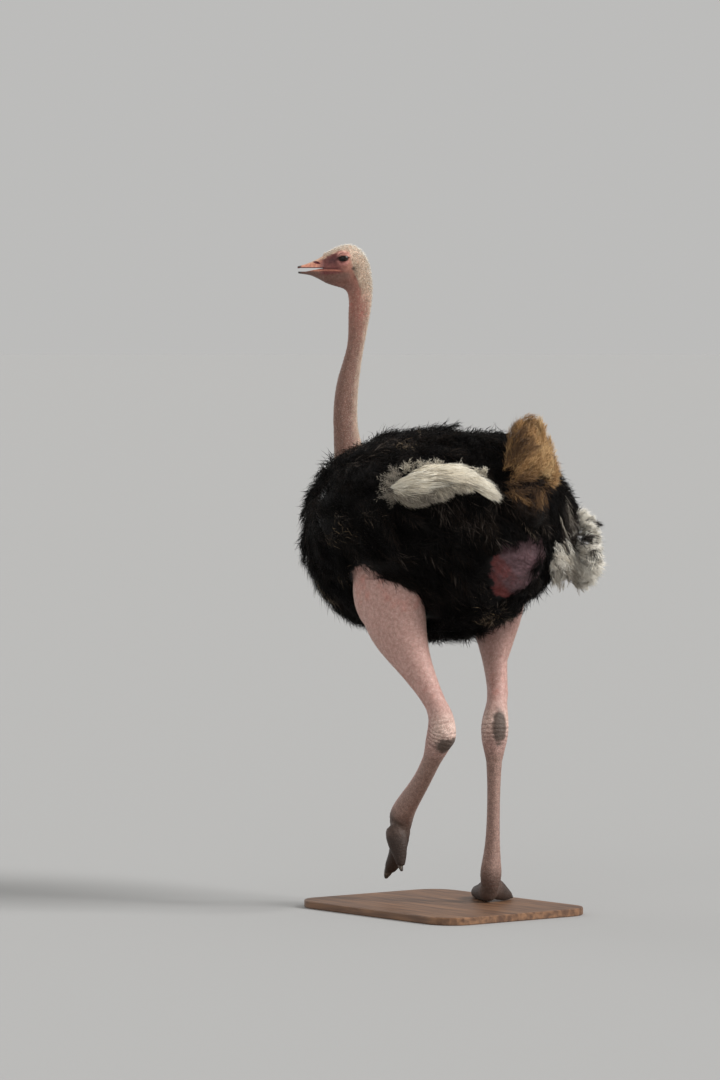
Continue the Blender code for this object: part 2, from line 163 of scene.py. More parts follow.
def thinned(obj, ratio, weights):  # fewer triangles, most of all where the weights are high
    group = obj.vertex_groups.new(name="thin")
    for level in range(1, 11):
        found = np.nonzero((weights > (level - 1) / 10) & (weights <= level / 10))[0]
        group.add([int(i) for i in found], level / 10, "REPLACE")
    thin = obj.modifiers.new("thin", "DECIMATE")
    thin.ratio, thin.vertex_group, thin.vertex_group_factor = ratio, "thin", 0.00002
    applied(obj)
    obj.vertex_groups.clear()
    return obj


def pointsOf(obj, normals=False):
    found = np.empty(len(obj.data.vertices) * 3, np.float32)
    if normals:
        obj.data.vertex_normals.foreach_get("vector", found)
    else:
        obj.data.vertices.foreach_get("co", found)
    return found.reshape(-1, 3).astype(float)


def setPoints(obj, points):
    obj.data.vertices.foreach_set("co", points.astype(np.float32).ravel())
    obj.data.update()


def evened(obj, values, rounds):  # values at the vertices, each made the mean of its neighbours'
    edges = np.empty(len(obj.data.edges) * 2, np.int32)
    obj.data.edges.foreach_get("vertices", edges)
    a, b = edges.reshape(-1, 2).T
    count = np.bincount(edges, minlength=len(values)).astype(float)
    flat = values.reshape(len(values), -1)
    for _ in range(rounds):
        total = np.stack([np.bincount(a, column[b], len(flat)) + np.bincount(b, column[a], len(flat))
                          for column in flat.T], 1)
        flat = 0.5 * flat + 0.5 * total / np.maximum(count, 1)[:, None]
    return flat.reshape(values.shape)


def treeOf(obj):
    return BVHTree.FromObject(obj, bpy.context.evaluated_depsgraph_get())


def nearest(tree, points):  # nearest points of a surface, and its normals there
    spots, normals = np.empty_like(points), np.empty_like(points)
    for i, p in enumerate(points):
        spots[i], normals[i] = tree.find_nearest(p)[:2]
    return spots, normals


def spineOf(name, bins):  # the middle line of a long CAD node, highest end first
    points = pointsOf(cadNodes[name])
    middle = points.mean(0)
    line = np.linalg.svd(points - middle, full_matrices=False)[2][0]
    line = line if line[2] < 0 else -line
    reach = (points - middle) @ line
    edges = np.linspace(reach.min() - 1e-6, reach.max() + 1e-6, bins + 1)
    mids = [points[(reach > a) & (reach <= b)] for a, b in zip(edges, edges[1:])]
    return np.array([(m.min(0) + m.max(0)) / 2 for m in mids if len(m)])


def onPath(points, path):  # distance along a path, and the path's nearest point and direction there
    best = np.full(len(points), 1e9)
    along, centre, way = np.zeros(len(points)), np.zeros_like(points), np.zeros_like(points)
    walked = 0.0
    for a, b in zip(path, path[1:]):
        step = b - a
        length = np.linalg.norm(step)
        t = np.clip((points - a) @ step / length ** 2, 0, 1)
        spot = a + t[:, None] * step
        far = np.linalg.norm(points - spot, axis=1)
        near = far < best
        best[near], along[near] = far[near], walked + t[near] * length
        centre[near], way[near] = spot[near], step / length
        walked += length
    return along, centre, way


# The head's own directions, taken from its two eyes
eyeLow, eyeHigh = (np.array(corner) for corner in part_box("eye_left"))
farLow, farHigh = (np.array(corner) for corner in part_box("eye_right"))
eyeMiddles = {"left": (eyeLow + eyeHigh) / 2, "right": (farLow + farHigh) / 2}
eyeRadius = (eyeHigh - eyeLow)[2] / 2
headMiddle = (eyeMiddles["left"] + eyeMiddles["right"]) / 2
headLeft = unit(eyeMiddles["left"] - eyeMiddles["right"])
headAhead = np.cross(headLeft, up)


def inHead(points):  # ahead, to the head's left and up from between the eyes
    away = points - headMiddle
    return away @ headAhead, away @ headLeft, away[..., 2]


def fromHead(ahead, aside, height):
    return (headMiddle + np.multiply.outer(ahead, headAhead) + np.multiply.outer(aside, headLeft)
            + np.multiply.outer(height, up))


body = {
    "coatVoxel": 0.013,
    "coatDepth": 0.045,    # how far the skin lies under the feather tips
    "bareDepth": 0.020,    # the same on the bare patch below the tail
    "skinEnd": 0.069,      # how far ahead of the eyes the skin reaches
    "knuckleSize": 0.048,  # how far the skin is softened round the root of the toes
    # middles and radii of the bare patch, and of the fillings under the plumage
    "barePatch": ((0.015, 0.415, 1.100), (0.102, 0.10, 0.130)),
    "neckRoots": [((0.018, -0.432, 1.405), (0.050, 0.052, 0.085)),
                  ((0.0, -0.385, 1.315), (0.085, 0.09, 0.11))],
    "thighRoots": {"left": [((0.176, 0.0, 1.085), (0.090, 0.130, 0.140)),
                            ((0.243, -0.035, 1.045), (0.071, 0.082, 0.138))],
                   "right": [((-0.170, -0.02, 1.065), (0.086, 0.126, 0.140))]},
}


def bareness(points, grow=1.0):  # 1 on the bare patch below the tail, 0 well away from it
    middle, radii = body["barePatch"]
    away = np.linalg.norm((points - middle) / radii, axis=-1) / grow + 0.17 * wavy(points, 0.07, 5)
    return 1 - ease(away, 0.86, 1.12)


def makeCoatShape():  # the outer surface of the plumage on trunk and wings
    return fused("coatShape", shapeOf(["trunk", "wing_left", "wing_right"], 0.001), body["coatVoxel"], 12)


def addBillRoot(bm):  # the skin runs on a little over the bill
    root = shapeOf(["bill_upper", "bill_lower"], 0.0006, 2)
    front = fromHead(body["skinEnd"], 0.0, 0.0)
    whole = root.verts[:] + root.edges[:] + root.faces[:]
    cut = bmesh.ops.bisect_plane(root, geom=whole, plane_co=front, plane_no=headAhead, clear_outer=True)
    bmesh.ops.contextual_create(root, geom=[e for e in cut["geom_cut"] if isinstance(e, bmesh.types.BMEdge)])
    mesh = bpy.data.meshes.new("root")
    root.to_mesh(mesh)
    root.free()
    bm.from_mesh(mesh)
    bpy.data.meshes.remove(mesh)


def makeSkinParts(coat):
    coatPoints, coatNormals = pointsOf(coat), pointsOf(coat, True)
    depth = body["coatDepth"] * (1 - 0.55 * ease(-coatNormals[:, 2], 0.2, 0.8))
    depth += (body["bareDepth"] - depth) * bareness(coatPoints)
    trunk = coat.copy()
    trunk.data = coat.data.copy()
    bpy.context.collection.objects.link(trunk)
    depth = evened(trunk, depth, 4)
    setPoints(trunk, evened(trunk, coatPoints - coatNormals * depth[:, None], 3))
    bm = bmesh.new()
    bm.from_mesh(trunk.data)
    inPatch = bareness(pointsOf(trunk), 1.1) > 0.05
    edges = [edge for edge in bm.edges if all(inPatch[vert.index] for vert in edge.verts)]
    bmesh.ops.subdivide_edges(bm, edges=edges, cuts=3, use_grid_fill=True, smooth=1.0)
    bmesh.ops.triangulate(bm, faces=bm.faces)
    bm.to_mesh(trunk.data)
    bm.free()

    bm = shapeOf(["head", "neck_upper", "neck_lower"], 0.0008, 2)
    addBillRoot(bm)
    for centre, radii in body["neckRoots"]:
        addBlob(bm, centre, radii)
    addLids(bm)
    neck = fused("neckSkin", bm, 0.0016, 6)
    legs = []
    for side in ("left", "right"):
        names = [part + side for part in ("thigh_", "ankle_", "tarsus_", "toe_main_", "toe_outer_")]
        bm = shapeOf(names, 0.0012, 2)
        for centre, radii in body["thighRoots"][side]:
            addBlob(bm, centre, radii)
        leg = fused("legSkin_" + side, bm, 0.0028, 14)
        points = pointsOf(leg)
        knuckle = spineOf("tarsus_" + side, 7)[-1]
        soft = hill(np.linalg.norm(points - knuckle, axis=1), 0, body["knuckleSize"])
        setPoints(leg, points + (evened(leg, points, 40) - points) * soft[:, None])
        legs.append(leg)
    return trunk, neck, legs


def setTone(obj, colour):
    colour = np.concatenate([colour, np.ones((len(colour), 1))], 1).astype(np.float32)
    obj.data.attributes.new("tone", "FLOAT_COLOR", "POINT").data.foreach_set("color", colour.ravel())


def setFact(obj, name, values):
    obj.data.attributes.new(name, "FLOAT", "POINT").data.foreach_set("value", values.astype(np.float32))


def finished(obj, material, slot, *stands):  # stands: the CAD nodes whose place this piece takes
    obj.data.materials.clear()
    obj.data.materials.append(material)
    obj.data.shade_smooth()
    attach(obj, "root")
    if stands:
        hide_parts(*stands)
    print(obj.name, len(obj.data.polygons), "faces")
    return obj


# Feathers: every one is a curved quill with loose barbs, each barb a closed, flattened spindle
def meshOf(name, points, faces, patch, facts):
    mesh = bpy.data.meshes.new(name)
    mesh.vertices.add(len(points))
    mesh.vertices.foreach_set("co", points.astype(np.float32).ravel())
    mesh.loops.add(3 * len(faces))
    mesh.loops.foreach_set("vertex_index", faces.astype(np.int32).ravel())
    mesh.polygons.add(len(faces))
    mesh.polygons.foreach_set("loop_start", np.arange(0, 3 * len(faces), 3, dtype=np.int32))
    mesh.update(calc_edges=True)
    mesh.uv_layers.new(name="OFBake").data.foreach_set("uv", patch[faces.ravel()].astype(np.float32).ravel())
    obj = bpy.data.objects.new(name, mesh)
    bpy.context.collection.objects.link(obj)
    for fact, values in facts.items():
        setFact(obj, fact, values)
    return obj


def sampled(paths, places):  # points at these places along each path, counted in its steps
    low = np.minimum(places.astype(int), paths.shape[1] - 2)
    part = (places - low)[..., None]
    rows = np.arange(len(paths))[:, None]
    return paths[rows, low] * (1 - part) + paths[rows, low + 1] * part


spindleFaces = np.array([(0, 2, 1), (0, 3, 2), (0, 1, 3), (4, 1, 2), (4, 2, 3), (4, 3, 1)])


# Each quill is given by its points and its vane's normals there. In a look, width is the barbs' length,
# spread their angle to the quill at its root and at its tip, and bare the share of it without barbs
def feathers(paths, faces, look, dice, shade):
    count, steps = paths.shape[:2]
    ways = unit(np.gradient(paths, axis=1))
    barbs = look["barbs"]
    where = (np.arange(barbs) + dice.uniform(0.1, 0.9, (count, barbs))) / barbs
    where = look["bare"] + (1 - look["bare"]) * where
    sign = np.where(np.arange(barbs) % 2, 1.0, -1.0) * np.ones((count, 1))
    root, way, face = (sampled(values, where * (steps - 1)) for values in (paths, ways, faces))
    way = unit(way)
    side = unit(np.cross(face, way))
    face = np.cross(way, side)
    wide, narrow = look["spread"]
    angle = np.radians(wide + (narrow - wide) * where + dice.normal(0, look["ruffle"], where.shape))
    angle = angle[..., None] * sign[..., None]
    size = look["width"] * np.sin(math.pi * (0.12 + 0.74 * where)) ** 0.6
    size = size * dice.uniform(0.7, 1.25, where.shape) * np.reshape(look.get("sizes", 1.0), (-1, 1))
    size = size[..., None]
    lift = dice.normal(look["lift"], 0.16, where.shape)[..., None]
    first = unit(np.cos(angle) * way + np.sin(angle) * side + lift * face)
    middle = root + first * size * 0.5
    second = unit(first + look["curl"] * way - look["droop"] * up - look["cling"] * face
                  + dice.normal(0, look["frizz"], first.shape))
    tip = middle + second * size * 0.5
    across = unit(np.cross(first, face))
    thick = np.cross(across, first)
    blade = look["blade"] * dice.uniform(0.7, 1.3, where.shape)[..., None]
    spindles = np.stack([root, middle + across * blade / 2, middle - across * blade / 2,
                         middle + thick * blade * 0.3, tip], 2)

    sections = paths[:, 1:-1]
    across = unit(np.cross(ways, faces))[:, 1:-1]
    thick = look["quill"] * np.linspace(1.0, 0.4, steps)[1:-1, None]
    quills = np.stack([sections + across * thick, sections - across * thick,
                       sections + faces[:, 1:-1] * thick], 2).reshape(count, -1, 3)
    quills = np.concatenate([paths[:, :1], quills, paths[:, -1:]], 1)
    quillFaces = [(0, 2, 1), (0, 3, 2), (0, 1, 3)]
    for k in range(steps - 3):
        for i, j in ((0, 1), (1, 2), (2, 0)):
            a, b = 1 + 3 * k + i, 1 + 3 * k + j
            quillFaces += [(a, b, b + 3), (a, b + 3, a + 3)]
    end = 1 + 3 * (steps - 2)
    quillFaces += [(end, end - 3, end - 2), (end, end - 2, end - 1), (end, end - 1, end - 3)]

    points = np.concatenate([spindles.reshape(count, -1, 3), quills], 1)
    each = np.concatenate([(spindleFaces + 5 * b) for b in range(barbs)] + [np.array(quillFaces) + 5 * barbs])
    allFaces = (np.arange(count)[:, None, None] * points.shape[1] + each).reshape(-1, 3)
    out = np.stack([0 * where, *[0 * where + 0.5] * 3, 0 * where + 1], 2).reshape(count, -1)
    out = np.concatenate([out, np.zeros((count, quills.shape[1]))], 1)
    along = np.stack([where] * 5, 2).reshape(count, -1)
    onQuill = np.concatenate([[0], np.repeat(np.linspace(0, 1, steps)[1:-1], 3), [1]])
    along = np.concatenate([along, np.tile(onQuill, (count, 1))], 1)
    hands = np.concatenate([np.stack([sign] * 5, 2).reshape(count, -1), 0 * quills[..., 0]], 1)
    return {"points": points.reshape(-1, 3), "faces": allFaces, "out": out.ravel(), "along": along.ravel(),
            "shade": np.repeat(shade, points.shape[1]), "hand": hands.ravel(), "each": points.shape[1]}


def addCoat(name, made, roots, material, slot, stands=()):  # roots: each feather's place on the unwrap
    local = np.stack([made["out"] * made["hand"] * 0.5 + 0.5, made["along"]], 1)
    patch = np.repeat(roots, made["each"], 0) + (local - 0.5) * 0.003
    facts = {fact: made[fact] for fact in ("shade", "out", "along")}
    finished(meshOf(name, made["points"], made["faces"], patch, facts), material, slot, *stands)


def scattered(obj, number, dice):  # evenly random points on a mesh, with their normals
    obj.data.calc_loop_triangles()
    corners = np.empty(len(obj.data.loop_triangles) * 3, np.int32)
    obj.data.loop_triangles.foreach_get("vertices", corners)
    points, normals = pointsOf(obj), pointsOf(obj, True)
    corners = corners.reshape(-1, 3)
    a, b, c = points[corners].transpose(1, 0, 2)
    area = np.linalg.norm(np.cross(b - a, c - a), axis=1)
    steps = (np.arange(number) + dice.uniform(0, 1, number)) / number
    chosen = corners[np.minimum(np.searchsorted(np.cumsum(area) / area.sum(), steps), len(corners) - 1)]
    r, s = dice.uniform(0, 1, (2, number))
    r, s = np.where(r + s > 1, (1 - r, 1 - s), (r, s))
    weights = np.stack([1 - r - s, r, s], 1)[..., None]
    return (points[chosen] * weights).sum(1), unit((normals[chosen] * weights).sum(1))


def level(directions, normals):
    return unit(directions - (directions * normals).sum(-1, keepdims=True) * normals)


# Quills that rise from the skin and then follow the coat's surface, the way the flow points
def combed(roots, normals, flow, lengths, depth, stand, tree, steps, avoid=None):
    here, face = roots - normals * depth[:, None], normals
    way = level(flow(roots), normals)
    paths, faces = [here], [face]
    for k in range(1, steps):
        t = k / (steps - 1)
        ahead = here + way * (lengths / (steps - 1))[:, None]
        spot, face = nearest(tree, ahead)
        rise = ease(t, 0, 0.55)
        height = -depth * (1 - rise) * 0.9 + stand * t
        here = spot + face * height[:, None]
        if avoid is not None:
            here = avoid(here)
        paths.append(here)
        faces.append(face)
        way = level(0.45 * way + 0.55 * flow(spot), face)
    return np.stack(paths, 1), np.stack(faces, 1)


def makeShader(name):
    material = bpy.data.materials.new(name)
    material.use_nodes = True
    tree = material.node_tree
    return material, tree, tree.nodes["Principled BSDF"]


def filled(tree, socket, value):  # links another socket to this one, or sets its value
    if isinstance(value, bpy.types.NodeSocket):
        tree.links.new(value, socket)
    else:
        socket.default_value = (*value, 1) if socket.type == "RGBA" else value


def wired(tree, node, **inputs):  # Base_Color stands for the input Base Color
    for name, value in inputs.items():
        filled(tree, node.inputs[name.replace("_", " ")], value)
    return node


def added(tree, kind, **inputs):
    return wired(tree, tree.nodes.new("ShaderNode" + kind), **inputs)


def factOf(tree, name, output="Fac"):  # a value that the mesh carries at its points
    node = added(tree, "Attribute")
    node.attribute_name = name
    return node.outputs[output]


def objectPlace(tree):
    return added(tree, "TexCoord").outputs["Object"]


def noiseOf(tree, where, scale, detail, **more):
    return added(tree, "TexNoise", Vector=where, Scale=scale, Detail=detail, **more).outputs["Fac"]


def scaled(tree, source, low, high):  # 0 where the source is low, 1 where it is high
    return added(tree, "MapRange", Value=source, From_Min=low, From_Max=high).outputs["Result"]


def calculated(tree, operation, *values):
    node = added(tree, "Math")
    node.operation = operation
    for socket, value in zip(node.inputs, values):
        filled(tree, socket, value)
    return node.outputs[0]


def times(tree, *values):
    return calculated(tree, "MULTIPLY", *values)


def mixed(tree, factor, a, b, kind="MIX"):
    node = added(tree, "Mix")
    node.data_type, node.blend_type = "RGBA", kind
    return wired(tree, node, Factor=factor, A=a, B=b).outputs["Result"]


def ramp(tree, source, stops):
    node = added(tree, "ValToRGB", Fac=source)
    points = node.color_ramp.elements
    points[0].position, points[0].color = stops[0][0], (*stops[0][1], 1)
    points[1].position, points[1].color = stops[-1][0], (*stops[-1][1], 1)
    for position, colour in stops[1:-1]:
        points.new(position).color = (*colour, 1)
    return node.outputs["Color"]


def bumped(tree, shader, height, strength, distance):
    bump = added(tree, "Bump", Strength=strength, Distance=distance, Height=height)
    wired(tree, shader, Normal=bump.outputs["Normal"])


def featherMaterial(name, look):
    material, tree, shader = makeShader(name)
    shade = factOf(tree, "shade")
    fade = scaled(tree, times(tree, factOf(tree, "out"), factOf(tree, "along")), *look["tipRange"])
    palest = scaled(tree, shade, *look.get("tipShade", (-1, 0)))  # dark feathers keep dark tips
    colour = mixed(tree, times(tree, fade, palest), ramp(tree, shade, look["tones"]), look["tipTone"])
    wired(tree, shader, Base_Color=colour, Roughness=look["roughness"], Sheen_Weight=look["sheen"],
          Sheen_Roughness=0.4, Specular_IOR_Level=look["gloss"])
    return material


# level directions to the bird's rear right and rear left, along which places below are given
rearRight, rearLeft = np.array([-0.788, 0.616, 0]), np.array([0.616, 0.788, 0])


blackPlumage = {
    "tones": [(0.0, (0.0028, 0.0024, 0.0024)), (0.62, (0.0055, 0.0045, 0.004)), (0.86, (0.020, 0.013, 0.009)),
              (0.94, (0.12, 0.10, 0.085)), (1.0, (0.42, 0.31, 0.19))],
    "tipTone": (0.009, 0.0075, 0.007), "tipRange": (0.45, 1.4),
    "roughness": 0.62, "sheen": 0.0, "gloss": 0.10,
    "vane": {"barbs": 17, "bare": 0.12, "spread": (44, 10), "ruffle": 9, "width": 0.058, "lift": 0.05,
             "curl": 0.45, "droop": 0.25, "cling": 0.22, "frizz": 0.34, "blade": 0.0020, "quill": 0.0009},
    "number": 7150, "lengths": (0.105, 0.175), "steps": 6, "locks": 700, "gather": 0.76,
    "halfWidth": 0.372,                   # feathers that reach past it are drawn in
    "flecks": (0.012, (0.84, 0.92)),      # share and shades of single pale feathers
    # the hem over each thigh, as places to the rear right and heights there
    "hemLeft": ([-0.340, -0.310, -0.268, -0.234, -0.192, -0.115, -0.060, -0.035],
                [0.860, 1.146, 1.120, 1.060, 1.018, 0.980, 0.965, 0.880]),
    "hemRight": ([0.10, 0.183, 0.231, 0.272], [0.930, 0.950, 0.985, 1.015]),
    # the line of feathers past the bare patch, as heights and places to the rear right
    "streak": ([0.974, 0.987, 1.041, 1.102, 1.147], [0.196, 0.231, 0.275, 0.306, 0.322]),
    # middle to the rear right, half width, middle height, half height, share and shades of paler feathers;
    # the brown ones below the band are partly brown feathers, partly painted glints on the black
    "brown": (0.065, 0.08, 1.285, 0.06, 0.5, (0.80, 0.92)),
    "tan": (0.135, 0.042, 0.955, 0.022, 0.35, (0.93, 1.0)),
}


def bodyFlow(points):  # which way the feathers of trunk and wings point
    x, y, z = points.T
    down = 0.30 + 0.9 * ease(-y, 0.25, 0.50) + 0.9 * ease(y, 0.15, 0.45) + 0.9 * ease(1.34 - z, 0.0, 0.25)
    down = down * ease(z, 0.88, 0.98)
    flow = np.stack([np.sign(x) * 0.25 * ease(z, 1.38, 1.48), np.ones(len(x)), -down], 1)
    flow[:, 0] += 0.30 * wavy(points, 0.12, 11)
    flow[:, 2] += 0.32 * wavy(points, 0.11, 12)
    return unit(flow)


def fringe(points):  # how far a point lies below the edge of the plumage over the thighs
    left, right = (np.interp(points @ rearRight, *blackPlumage[hem]) for hem in ("hemLeft", "hemRight"))
    return np.where(points[:, 0] > 0, left, right) - points[:, 2]


def onStreak(points):  # 1 in the line of feathers that hangs past the right of the bare patch
    aside = points @ rearRight
    line = np.interp(points[..., 2], *blackPlumage["streak"])
    return (1 - ease(abs(aside - line), 0.008, 0.016)) * (points[..., 2] < 1.27) * (points[..., 1] > 0.1)


def lockedIn(paths, roots, seeds, seedPaths, gather):  # draws the quills' ends together into locks
    far = ((roots[:, None] - seeds[None]) ** 2).sum(-1)
    nearestSeed = far.argmin(1)
    pull = (gather * ease(np.linspace(0, 1, paths.shape[1]), 0.15, 1.0))[None, :, None]
    return paths * (1 - pull) + seedPaths[nearestSeed] * pull, nearestSeed


def cutShort(paths, ends):  # the same paths, each only as far as this step
    steps = paths.shape[1] - 1
    return sampled(paths, np.linspace(0, 1, steps + 1)[None, :] * np.clip(ends, 0.5, steps)[:, None])


def rolled(paths, faces, spread, dice):  # turns each vane a little about its quill
    sides = np.cross(unit(np.gradient(paths, axis=1)), faces)
    return unit(faces + dice.normal(0, spread, (len(paths), 1, 1)) * sides)


def bodyShade(middles, lockShade, dice):  # of each feather, from its middle and its lock's shade
    count = len(middles)
    shade = np.clip(0.55 * dice.uniform(0, 1, count) ** 1.3 + 0.45 * lockShade, 0, 1)
    share, shades = blackPlumage["flecks"]
    fleck = dice.uniform(0, 1, count) > 1 - share
    shade[fleck] = dice.uniform(*shades, fleck.sum())
    # the brown zone below the band is partly painted glints on the black plumage
    for name, seen in (("brown", middles @ rearLeft > 0), ("tan", middles[:, 1] > 0.1)):
        place, halfWidth, height, halfHeight, share, shades = blackPlumage[name]
        zone = seen & (abs(middles @ rearRight - place) < halfWidth)
        zone &= abs(middles[:, 2] - height) < halfHeight
        shade = np.where(zone & (dice.uniform(0, 1, count) < share), dice.uniform(*shades, count), shade)
    return shade


def makeBodyFeathers(coat, legs, material):
    dice = np.random.default_rng(21)
    tree = treeOf(coat)
    legTrees = [treeOf(leg) for leg in legs]

    def clear(points):  # lifts points out of the thighs
        points = points.copy()
        for legTree, sign in zip(legTrees, (1, -1)):
            low = (points[:, 2] < 1.24) & (abs(points[:, 1]) < 0.26)
            close = np.nonzero((points[:, 0] * sign > 0.03) & low)[0]
            spots, normals = nearest(legTree, points[close])
            inside = ((points[close] - spots) * normals).sum(1) - 0.006
            points[close] -= normals * np.minimum(inside, 0)[:, None]
        return points

    def laid(number, wild):
        roots, normals = scattered(coat, number, dice)
        x, y, z = roots.T
        onThigh = (abs(x) > 0.13) & (y > -0.15) & (y < 0.12) & (fringe(roots) > -0.020)
        bare = bareness(roots) * (1 - onStreak(roots))
        keep = (dice.uniform(0, 1, number) > bare * 1.2) & ~onThigh
        roots, normals = roots[keep], normals[keep]
        lengths = dice.uniform(*blackPlumage["lengths"], len(roots))
        lengths *= 1 - 0.40 * ease(-roots[:, 1], 0.32, 0.52)
        lengths *= 1 - 0.55 * bareness(roots, 1.9)
        overThigh = (abs(roots[:, 0]) > 0.10) & (abs(roots[:, 1]) < 0.17)
        lengths = np.where(overThigh, np.minimum(lengths, np.maximum(-1.2 * fringe(roots), 0.030)), lengths)
        depth = body["coatDepth"] * dice.uniform(0.35, 0.95, len(roots))
        stand = 0.018 * wavy(roots, 0.085, 31) + dice.normal(-0.008, 0.004 + 0.006 * wild, len(roots))
        stand -= 0.012 * ease(z[keep], 1.40, 1.48)
        twist = wild * dice.normal(0, 0.42, (len(roots), 3))
        paths, faces = combed(roots, normals, lambda points: unit(bodyFlow(points) + twist), lengths, depth,
                              np.minimum(stand, 0.016), tree, blackPlumage["steps"], clear)
        paths[:, -1] += faces[:, -1] * (wild * dice.uniform(-0.012, 0.010, len(roots)))[:, None]
        return roots, paths, faces

    seeds, seedPaths, _ = laid(blackPlumage["locks"], 1.0)
    roots, paths, faces = laid(blackPlumage["number"], 0.0)
    paths, lock = lockedIn(paths, roots, seeds, seedPaths, blackPlumage["gather"])
    count = len(roots)
    flat = paths.reshape(-1, 3)
    past = fringe(flat) - np.repeat(-0.002 + 0.013 * dice.normal(0, 1, count), paths.shape[1])
    rear = 0.15 + 0.05 * (flat[:, 0] < 0)
    past = (past > 0) & (abs(flat[:, 0]) > 0.11) & (flat[:, 1] > -0.15) & (flat[:, 1] < rear)
    crossing = bareness(flat, 1.22).reshape(count, -1) * (1 - onStreak(roots))[:, None]
    past = past.reshape(count, -1) | (crossing > dice.uniform(0.08, 0.7, (count, 1)))
    end = np.where(past.any(1), past.argmax(1) - 0.5, paths.shape[1] - 1.0)
    paths, faces = cutShort(paths, end), unit(cutShort(faces, end))
    beyond = np.maximum(abs(paths[..., 0]) - blackPlumage["halfWidth"], 0)
    paths[..., 0] -= np.sign(paths[..., 0]) * beyond * 0.75
    keep = end > 0.8
    paths, faces, roots, lock = paths[keep], faces[keep], roots[keep], lock[keep]
    faces = rolled(paths, faces, 0.40, dice)
    shade = bodyShade(paths[:, 2], dice.uniform(0, 1, len(seeds))[lock], dice)
    reach = np.linalg.norm(np.diff(paths, axis=1), axis=2).sum(1)
    sizes = np.clip(reach / 0.115, 0.42, 1.0)
    angle = np.arctan2(roots[:, 0], roots[:, 2] - 1.21) / (2 * math.pi) + 0.5
    ahead = (roots[:, 1] - cadLow[1]) / (cadHigh[1] - cadLow[1])
    unwrap = 0.01 + 0.98 * np.stack([angle, ahead], 1)
    for i, group in enumerate(np.array_split(np.argsort(roots[:, 1]), 6)):
        look = {**blackPlumage["vane"], "sizes": sizes[group]}
        made = feathers(paths[group], faces[group], look, dice, shade[group])
        addCoat("bodyFeathers_%d" % (i + 1), made, unwrap[group], material, "plumage_black")


def drawnIn(paths, look):  # narrows or widens a plume mass about an upright line
    aside, heights = paths @ rearRight - look["line"], look["heights"]
    share = np.where(aside > 0, np.interp(paths[..., 2], heights, look["right"]),
                     np.interp(paths[..., 2], heights, look["left"]))
    return paths + (aside * (share - 1))[..., None] * rearRight


def surfaceOf(names, voxel, rounds):
    return fused("surface", shapeOf(names, 0.001), voxel, rounds)


tail = {
    "tones": [(0.0, (0.006, 0.004, 0.003)), (0.22, (0.042, 0.020, 0.009)), (0.45, (0.15, 0.078, 0.031)),
              (0.75, (0.43, 0.24, 0.096)), (1.0, (0.74, 0.51, 0.26))],
    "tipTone": (0.56, 0.34, 0.14), "tipRange": (0.5, 2.0), "tipShade": (0.0, 0.6),
    "roughness": 0.7, "sheen": 0.05, "gloss": 0.2,
    # the tuft keeps these shares of its width either side of an upright line, by height
    "line": 0.27, "heights": [1.315, 1.350, 1.390, 1.431, 1.470, 1.507, 1.545, 1.585],
    "right": [0.60, 0.60, 0.85, 0.92, 0.82, 0.70, 0.66, 0.90],
    "left": [1.7, 1.7, 1.4, 1.22, 1.0, 0.82, 0.82, 1.0],
    "vane": {"barbs": 21, "bare": 0.08, "spread": (38, 10), "ruffle": 12, "width": 0.032, "lift": 0.05,
             "curl": 0.35, "droop": 0.05, "cling": 0.20, "frizz": 0.36, "blade": 0.0013, "quill": 0.0006},
    "number": 1200, "lengths": (0.05, 0.105), "depths": (0.012, 0.045), "tufts": 150, "gather": 0.68,
    # hollows between the tufts, where the feathers are thinned and painted darker: painted shade
    "holes": [(0.307, 1.400), (0.262, 1.366), (0.318, 1.362), (0.290, 1.380)],  # to the rear right, and up
}


def tailFlow(points):
    high = ease(points[:, 2], 1.34, 1.42)
    aside = points[:, 0] - 0.01
    flow = np.stack([-0.55 * high + 0.3 * aside / 0.1, 0.35 + 0.35 * high, -1.0 + 2.0 * high], 1)
    return unit(flow + 0.40 * np.stack([wavy(points, 0.06, seed) for seed in (41, 42, 43)], 1))


